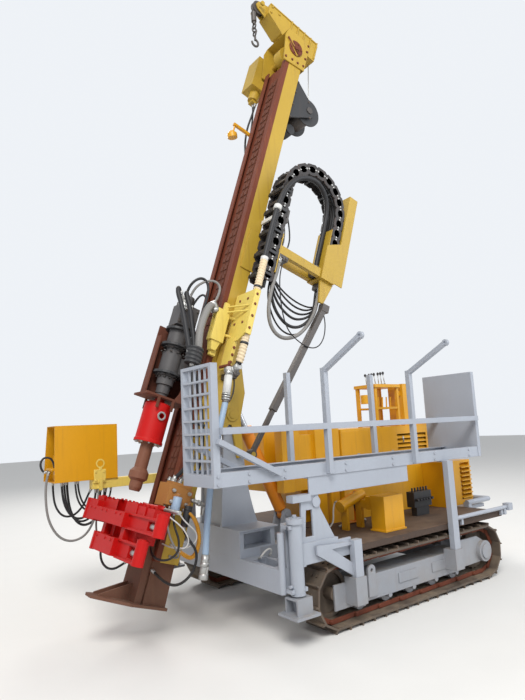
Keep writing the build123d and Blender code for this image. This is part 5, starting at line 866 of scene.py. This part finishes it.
mastFittings = {
    "hose_collars": {
        "is": ("pale", "mast", "bright_steel"),
        "blocks": [((0.148, -0.446, 3.965), (0.17, -0.205, 4.01), 0.004)],
        "rods": [((0.128, -0.483, 4.02), (0.133, -0.482, 4.075), 0.041, 20, 0.006),
                 ((0.117, -0.487, 3.43), (0.117, -0.486, 3.475), 0.037, 20, 0.004)]},
    "hose_blocks": {  # under the trough's arms and foot, at the feed hose, the jumpers and the bracket's tail
        "is": ("darkSteel", "mast", "dark_steel"),
        "blocks": [((0.311, -0.432, 3.586), (0.425, -0.245, 3.641), 0.005),
                   ((0.925, -0.366, 3.56), (1.018, -0.236, 3.63), 0.006),
                   ((0.81, -0.372, 3.66), (0.888, -0.276, 3.706), 0.005),
                   ((0.298, -0.42, 3.995), (0.326, -0.29, 4.15), 0.004),
                   ((0.3, -0.42, 3.715), (0.4, -0.31, 3.735), 0.003),
                   ((0.118, -0.432, 2.26), (0.162, -0.2, 2.315), 0.004)],
        "rods": [((0.14, -0.445, 2.32), (0.14, -0.395, 2.285), 0.034, 16, 0)],
        "bolts": [(sideways, 0.012, 0.01, [(0.355, -0.245, 3.613), (0.405, -0.245, 3.613), (0.95, -0.236, 3.595),
                                            (0.99, -0.236, 3.595)]),
                  (-sideways, 0.012, 0.01, [(0.345, -0.432, 3.613), (0.395, -0.432, 3.613)])]},
    "hose_straps": {
        "is": ("black", "mast", "black_paint"),
        "blocks": [((back - 0.062, -0.402, up - 0.011), (back + 0.128, -0.345, up + 0.011), 0.004)
                   for up, back in ((1.78, -0.142), (1.6, -0.088))],
        "rods": [((0.116, -0.49, up - 0.012), (0.116, -0.49, up + 0.012), 0.0395, 18, 0.003)
                 for up in (3.15, 2.86, 2.58)] + [((-0.02, -0.35, 1.69), (-0.02, -0.198, 1.69), 0.012, 8, 0)]},
    "accumulator_grey": {
        "is": ("paleBlue", "mast", "grey_paint"),
        "rods": [((-0.058, -0.328, 1.04), (-0.058, -0.328, 1.168), 0.0372, 22, 0.006),
                 ((-0.058, -0.328, 1.165), (-0.058, -0.328, 1.19), 0.014, 10, 0)]},
    "accumulator_black": {
        "is": ("black", "mast", "black_paint"),
        "rods": [((0.062, -0.328, 0.948), (0.062, -0.328, 1.122), 0.0322, 22, 0.006)]
        + [((0.062, -0.328, up - 0.007), (0.062, -0.328, up + 0.007), 0.0345, 22, 0) for up in (0.985, 1.085)]},
    "foot_unions": {
        "is": ("zinc", "mast", "bright_steel"),
        "rods": [rod for foot in footNuts
                 for rod in union(foot, (0, -1, 0), 0.016, 0.011, (-0.002, 0.018, 0.017, 0.03))]
        + [rod for foot, size in footCaps
           for rod in union(foot, (0, 0, 1), size, size * 0.6, (-0.002, 0.022, 0.02, 0.034))]
        + [((0.095, -0.325, 1.165), (0.205, -0.34, 1.15), 0.017, 12, 0),
           ((0.13, -0.33, 1.16), (0.16, -0.334, 1.156), 0.024, 6, 0),
           ((0.085, -0.28, 1.17), (0.1, -0.33, 1.165), 0.016, 10, 0),
           ((0.195, -0.338, 1.15), (0.19, -0.345, 1.07), 0.013, 10, 0)]},
    "head_elbows": {
        "is": ("pale", "carriage", "bright_steel"),
        "rods": [((-0.385, -0.08, 2.83), (-0.462, -0.124, 2.928), 0.0245, 14, 0.003),
                 ((-0.355, -0.088, 2.8), (-0.392, -0.123, 2.91), 0.0245, 14, 0.003),
                 ((-0.45, -0.117, 2.913), (-0.468, -0.128, 2.936), 0.03, 14, 0.003),
                 ((-0.387, -0.118, 2.895), (-0.396, -0.127, 2.922), 0.03, 14, 0.003),
                 ((-0.36, -0.05, 2.86), (-0.36, -0.05, 2.935), 0.017, 6, 0),
                 ((-0.32, -0.05, 2.93), (-0.32, -0.05, 2.948), 0.04, 18, 0),
                 ((-0.29, -0.085, 2.82), (-0.29, -0.09, 2.85), 0.015, 6, 0)]},
    "hose_bundle": {
        "is": ("black", "carriage", "black_paint"),
        "ribs": [((-0.283, -0.384, 2.395), (-0.28, -0.386, 2.245), 0.066, 0.01, 0.034, 18)],
        "rods": [((-0.34, -0.33, 2.41), (-0.23, -0.43, 2.29), 0.014, 8, 0),
                 ((-0.35, -0.42, 2.36), (-0.22, -0.35, 2.26), 0.012, 8, 0),
                 ((-0.272, -0.36, 2.32), (-0.19, -0.125, 2.33), 0.014, 10, 0)],
        "rings": [((-0.305, 0, up), mastUp, 0.09, outer, 0.022, 24)
                  for up, outer in ((2.175, 0.128), (2.445, 0.126), (2.6, 0.126))]},
    "drive_bolts": {
        "is": ("darkSteel", "carriage", "dark_steel"),
        "circles": [((-0.305, 0, up), mastBack, sideways, mastUp, reach * 0.86, 10, pi / 10, 0.009, 0.008)
                    for up, reach in ((2.142, 0.096), (2.162, 0.11), (2.382, 0.122), (2.426, 0.106), (2.642, 0.1))],
        "bolts": [(sideways * out, 0.012, 0.01, [(back, 0.091 * out, up) for back in (-0.375, -0.215)
                                                  for up in (2.68, 2.83)]) for out in both],
        "rods": [((back, 0.05, 2.858), (back, 0.05, 2.9), 0.014, 6, 0) for back in (-0.37, -0.3, -0.23)]},
    "supply_coupling": {
        "is": ("pale", "carriage", "bright_steel"),
        "rods": [((0.081, -0.388, 2.345), (0.08, -0.418, 2.265), 0.03, 18, 0.004),
                 ((0.08, -0.418, 2.268), (0.09, -0.436, 2.1), 0.036, 20, 0.005)]},
    "supply_unions": {
        "is": ("zinc", "carriage", "bright_steel"),
        "rods": [(start, start + supplyWay, 0.04, 20, 0.003) for start in supplyRings]
        + [((0.089, -0.435, 2.11), (0.099, -0.44, 2.02), 0.03, 16, 0),
           ((0.212, -0.532, 0.712), (0.224, -0.531, 0.64), 0.034, 18, 0.004),
           ((0.223, -0.531, 0.646), (0.232, -0.53, 0.6), 0.041, 8, 0.005)],
        "blocks": [((0.216, side, 0.64), (0.232, side + 0.014, 0.7), 0.003) for side in (-0.498, -0.576)]},
    "bracket_bolts": {
        "is": ("linkRust", "carriage", "rust_steel"),
        "blocks": [((0.05, -0.399, 2.345), (0.112, -0.256, 2.372), 0.005)],
        "rods": [((0.07, -0.395, 2.4), (0.07, -0.395, 2.36), 0.016, 6, 0)],
        "bolts": [(-sideways, 0.011, 0.009, [(0.081, -0.392, up) for up in (2.4, 2.47, 2.54)]),
                  (-sideways, 0.01, 0.008, [(0.101, -0.54, up) for up in (2.72, 2.84, 2.96, 3.06)]),
                  (-mastBack, 0.01, 0.008, [(0.07, side, up) for side in (-0.32, -0.45) for up in (3.02, 2.78)])]},
    "spindle_bolts": {
        "is": ("zinc", "spindle", "bright_steel"),
        "rings": [((-0.305, -0.127, 1.79), -sideways, 0.024, 0.039, 0.006, 24)],
        "circles": [((-0.305, 0, 1.552), mastBack, sideways, -mastUp, 0.104, 10, 0, 0.011, 0.01)]},
    "clamp_bolts": {
        "is": ("red", "mast", "red_paint"),
        "bolts": [(mastUp, 0.011, 0.009, [(back + aside, near + (far - near) * share, up)
                                          for near, far, back, up in jaws["rows"]
                                          for share in jaws["shares"] for aside in jaws["asides"]]),
                  (-mastBack, 0.01, 0.008, [(-0.4285, side, 0.94) for side in (0.42, 0.52, -0.05, -0.15, 0.15, 0.25)]
                   + [(-0.4285, side, 0.735) for side in (0.2, 0.02, -0.1)])]},
    "clamp_rods": {
        "is": ("zinc", "mast", "bright_steel"),
        "rods": [((-0.205, -0.695, 1.04), (-0.205, -0.45, 1.04), 0.0155, 14, 0)]
        + [((-0.345, near + 0.1, up), (-0.345, near + 0.175, up), 0.026, 16, 0.003)
           for near, up in ((-0.565, 0.689), (-0.775, 0.903))]},
    "head_bolts": {
        "is": ("guide", "mast", "rust_steel"),
        "rings": [((0.03, out * (head["cheek"] - 0.001), 6.28), sideways * out, 0.034, 0.094, 0.01, 28)
                  for out in both],
        "rods": [rod for out in both for rod in (
            ((0.03, out * (head["cheek"] + 0.012), 6.28), (0.03, out * (head["cheek"] + 0.032), 6.28), 0.03, 20,
             0.004),
            ((-0.105, out * (head["cheek"] + 0.011), 6.345), (0.075, out * (head["cheek"] + 0.011), 6.215), 0.01, 10,
             0))],
        "circles": [((0.03, out * (head["cheek"] + 0.009), 6.28), mastBack, mastUp, sideways * out, 0.07, 6, 0.3,
                     0.01, 0.008) for out in both],
        "bolts": [(sideways * out, 0.011, 0.009, [(back, out * head["cheek"], up) for back, up in head["cheekBolts"]])
                  for out in both]},
    "jib_bolts": {
        "is": ("shadedMastYellow", "mast", "yellow_paint"),
        "rods": [((-0.467, out * 0.085, 6.64), (-0.467, out * 0.11, 6.64), 0.026, 6, 0) for out in both],
        "bolts": [(sideways * out, 0.012, 0.009, [(back, out * head["jib"], up) for back, up in head["jibBolts"]])
                  for out in both]},
    "winch_rope": {"is": ("zinc", "mast", "bright_steel"), "rods": [((0.362, 0, 6.5), (0.56, 0, 5.72), 0.005, 8, 0)]},
    "rope_turns": {
        "is": ("darkSteel", "winch_drum", "dark_steel"),
        "rings": [((0.434, -0.1188 + 0.0114 * number, 5.7), sideways, 0.109, 0.1165, 0.0096, 40)
                  for number in range(21)]},
    "winch_bolts": {
        "is": ("darkSteel", "mast", "dark_steel"),
        "rods": [((0.434, out * 0.163, 5.7), (0.434, out * 0.176, 5.7), 0.04, 20, 0.004) for out in both],
        "bolts": [(sideways * out, 0.011, 0.009, [(back, out * head["winch"], up) for back, up in head["winchBolts"]])
                  for out in both]},
}
makeFittings(mastFittings, onMast)
print("mast and carriage fittings made")


# Running gear: link plates inside the shoes, their pins, and shoe bolts
trackGear = {"middle": 0.885, "axle": 0.275, "reach": 1.05, "shoes": 40, "loop": 0.241, "links": 0.208,
             "shoeFace": 0.2505, "shifts": (0.0845, 0.0765), "boltRows": (-0.105, -0.045, 0.045, 0.105)}
straight = 2 * trackGear["reach"]
curve = pi * trackGear["loop"]
lap = 2 * straight + 2 * curve


def loopSpot(run, radius):
    if run < straight:
        x, z, turn = trackGear["reach"] - run, -radius, pi
    elif run < straight + curve:
        angle = (run - straight) / trackGear["loop"]
        x, z, turn = -trackGear["reach"] - radius * sin(angle), -radius * cos(angle), pi - angle
    elif run < 2 * straight + curve:
        x, z, turn = -trackGear["reach"] + run - straight - curve, radius, 0.0
    else:
        angle = (run - 2 * straight - curve) / trackGear["loop"]
        x, z, turn = trackGear["reach"] + radius * sin(angle), radius * cos(angle), -angle
    return x, z + trackGear["axle"], turn


for name, out in (("left", -1), ("right", 1)):
    links, bolts = bmesh.new(), bmesh.new()
    for number in range(trackGear["shoes"]):
        run = (number + 0.5) * lap / trackGear["shoes"]
        x, z, turn = loopSpot(run, trackGear["links"])
        along, outward = Vector((cos(turn), 0, sin(turn))), Vector((-sin(turn), 0, cos(turn)))
        for side in both:
            face = out * trackGear["middle"] + side * trackGear["shifts"][number % 2]
            plateInto(links, (x, face - 0.004, z), along, outward, 0.088, 0.021, 0.009, 5)
            pin = Vector((x, face + side * 0.004, z)) + along * 0.066
            rodInto(links, pin, pin + sideways * side * 0.014, 0.011, 8)
        x, z, turn = loopSpot(run, trackGear["shoeFace"])
        along = Vector((cos(turn), 0, sin(turn)))
        hub = Vector((max(-trackGear["reach"], min(trackGear["reach"], x)), 0, trackGear["axle"]))
        outward = (Vector((x, 0, z)) - hub).normalized()
        for aside in trackGear["boltRows"]:
            start = Vector((x, out * trackGear["middle"] + aside, z)) + along * 0.022
            rodInto(bolts, start - outward * 0.002, start + outward * 0.008, 0.012, 6)
    addPiece("track_links_" + name, links, "guide", "chassis", "steel_track")
    addPiece("track_bolts_" + name, bolts, "track", "chassis", "steel_track")
print("track gear made")


# Console levers and their knobs
low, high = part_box("console")
levers = {"count": 7, "lift": 0.115, "radius": 0.0055, "knob": 0.016}
bm, knobs = bmesh.new(), bmesh.new()
for number in range(levers["count"]):
    side = low.y + (high.y - low.y) * (number + 0.7) / (levers["count"] + 0.4)
    foot = Vector(((low.x + high.x) / 2, side, high.z - 0.002))
    tip = foot + Vector((-0.02 + 0.008 * (number % 3), 0, levers["lift"]))
    lowKnob, middleKnob, topKnob = (tip + Vector((0, 0, rise)) for rise in (-0.004, 0.014, 0.03))
    rodInto(bm, foot, tip, levers["radius"], 8)
    rodInto(bm, foot, foot + Vector((0, 0, 0.018)), 0.013, 10, endRadius=0.008)
    rodInto(knobs, lowKnob, middleKnob, levers["knob"] * 0.6, 12, endRadius=levers["knob"])
    rodInto(knobs, middleKnob, topKnob, levers["knob"], 12, endRadius=levers["knob"] * 0.5)
addPiece("console_levers", bm, "zinc", "chassis", "bright_steel")
addPiece("console_knobs", knobs, "black", "chassis", "black_paint")


# Fittings in the machine's frame: filter, locks, frame bolts, pivot caps, bracket of the control box
def inMachine(rear, side, up):
    return Vector((rear, side, up))


rearward, upward = Vector((1, 0, 0)), Vector((0, 0, 1))
filterEnds = Vector((-0.27, -0.33, 0.84)), Vector((-0.015, -0.33, 0.922))
lockFace = -0.2065
jackFoot = {"x": -1.495, "y": 1.07, "flange": 0.944, "ears": (0.88, 0.45)}
pivot = {"x": -1.474, "z": 1.783}
machineFittings = {
    "filter_housing": {
        "is": ("orange", "chassis", "yellow_paint"),
        "rods": [(*filterEnds, 0.046, 28, 0.008)]
        + [(filterEnds[0].lerp(filterEnds[1], share) - Vector((0.008, 0, 0.0026)),
            filterEnds[0].lerp(filterEnds[1], share) + Vector((0.008, 0, 0.0026)), 0.049, 28, 0)
           for share in (0.12, 0.88)],
        "blocks": [((-0.215, -0.345, 0.65), (-0.19, -0.315, 0.83), 0.003),
                   ((-0.085, -0.345, 0.65), (-0.06, -0.315, 0.87), 0.003),
                   ((-0.24, -0.37, 0.65), (-0.035, -0.29, 0.662), 0.003)]},
    "filter_unions": {
        "is": ("zinc", "chassis", "bright_steel"),
        "rods": [((-0.016, -0.33, 0.9215), (0.012, -0.33, 0.93), 0.024, 6, 0),
                 ((-0.269, -0.33, 0.8405), (-0.296, -0.33, 0.832), 0.02, 6, 0)]},
    "hood_locks": {
        "is": ("zinc", "chassis", "bright_steel"),
        "rings": [((x, lockFace, 1.3), -sideways, 0.01, 0.026, 0.006, 20) for x in (0.16, 0.72, 1.14)],
        "rods": [((x, lockFace, 1.3), (x, lockFace - 0.01, 1.3), 0.013, 14, 0) for x in (0.16, 0.72, 1.14)]
        + [((x, lockFace - 0.005, z - 0.035), (x, lockFace - 0.005, z + 0.035), 0.008, 10, 0)
           for x in (0.46, 0.92) for z in (1.44, 1.02)]
        + [((x, 0.25, 1.59), (x, 0.25, 1.603), 0.02, 6, 0) for x in (0.1, 0.9, 1.66)]},
    "frame_bolts": {
        "is": ("grey", "chassis", "grey_paint"),
        "circles": [((jackFoot["x"], out * jackFoot["y"], jackFoot["flange"]), rearward, sideways, upward,
                     0.036, 6, 0.4, 0.008, 0.007) for out in both],
        "bolts": [(-sideways, 0.01, 0.007, [(x, -1.0705, z) for x in (-2.17, -1.9, -1.56, -0.9, -0.3, 0.32, 0.9)
                                             for z in (1.262, 1.318)])],
        "rods": [((jackFoot["x"] - 0.05, out * jackFoot["y"], z), (jackFoot["x"] - 0.078, out * jackFoot["y"], z),
                  0.014, 6, 0) for out in both for z in jackFoot["ears"]]},
    "pivot_caps": {
        "is": ("darkSteel", "chassis", "dark_steel"),
        "rods": [((pivot["x"], out * 0.19, pivot["z"]), (pivot["x"], out * 0.206, pivot["z"]), 0.046, 24, 0.004)
                 for out in both],
        "circles": [((pivot["x"], out * 0.1905, pivot["z"]), rearward, upward, sideways * out, 0.062, 4,
                     pi / 4, 0.009, 0.007) for out in both]},
    "box_bracket": {
        "is": ("bracket", "control_arm", "yellow_paint"),
        "rings": [((-2.33, 0.852, 1.385), -sideways, 0.03, 0.044, 0.01, 24)],
        "blocks": [((-2.395, 0.838, 1.2), (-2.275, 0.856, 1.33), 0.004),
                   ((-2.345, 0.836, 1.32), (-2.315, 0.852, 1.35), 0.003)],
        "bolts": [(-sideways, 0.009, 0.007, [(x, 0.838, z) for x in (-2.375, -2.295) for z in (1.225, 1.305)])]},
}
makeFittings(machineFittings, inMachine)
print("machine fittings made")


# The cords. The supply hose ends in its own coupling, all others end on the object. Nine jumpers are shorter
# than the shortest; the loop below only skips them and does nothing with any cord.
shortest = 0.49
for name, cord in cords.items():
    if cord["length"] < shortest:
        continue
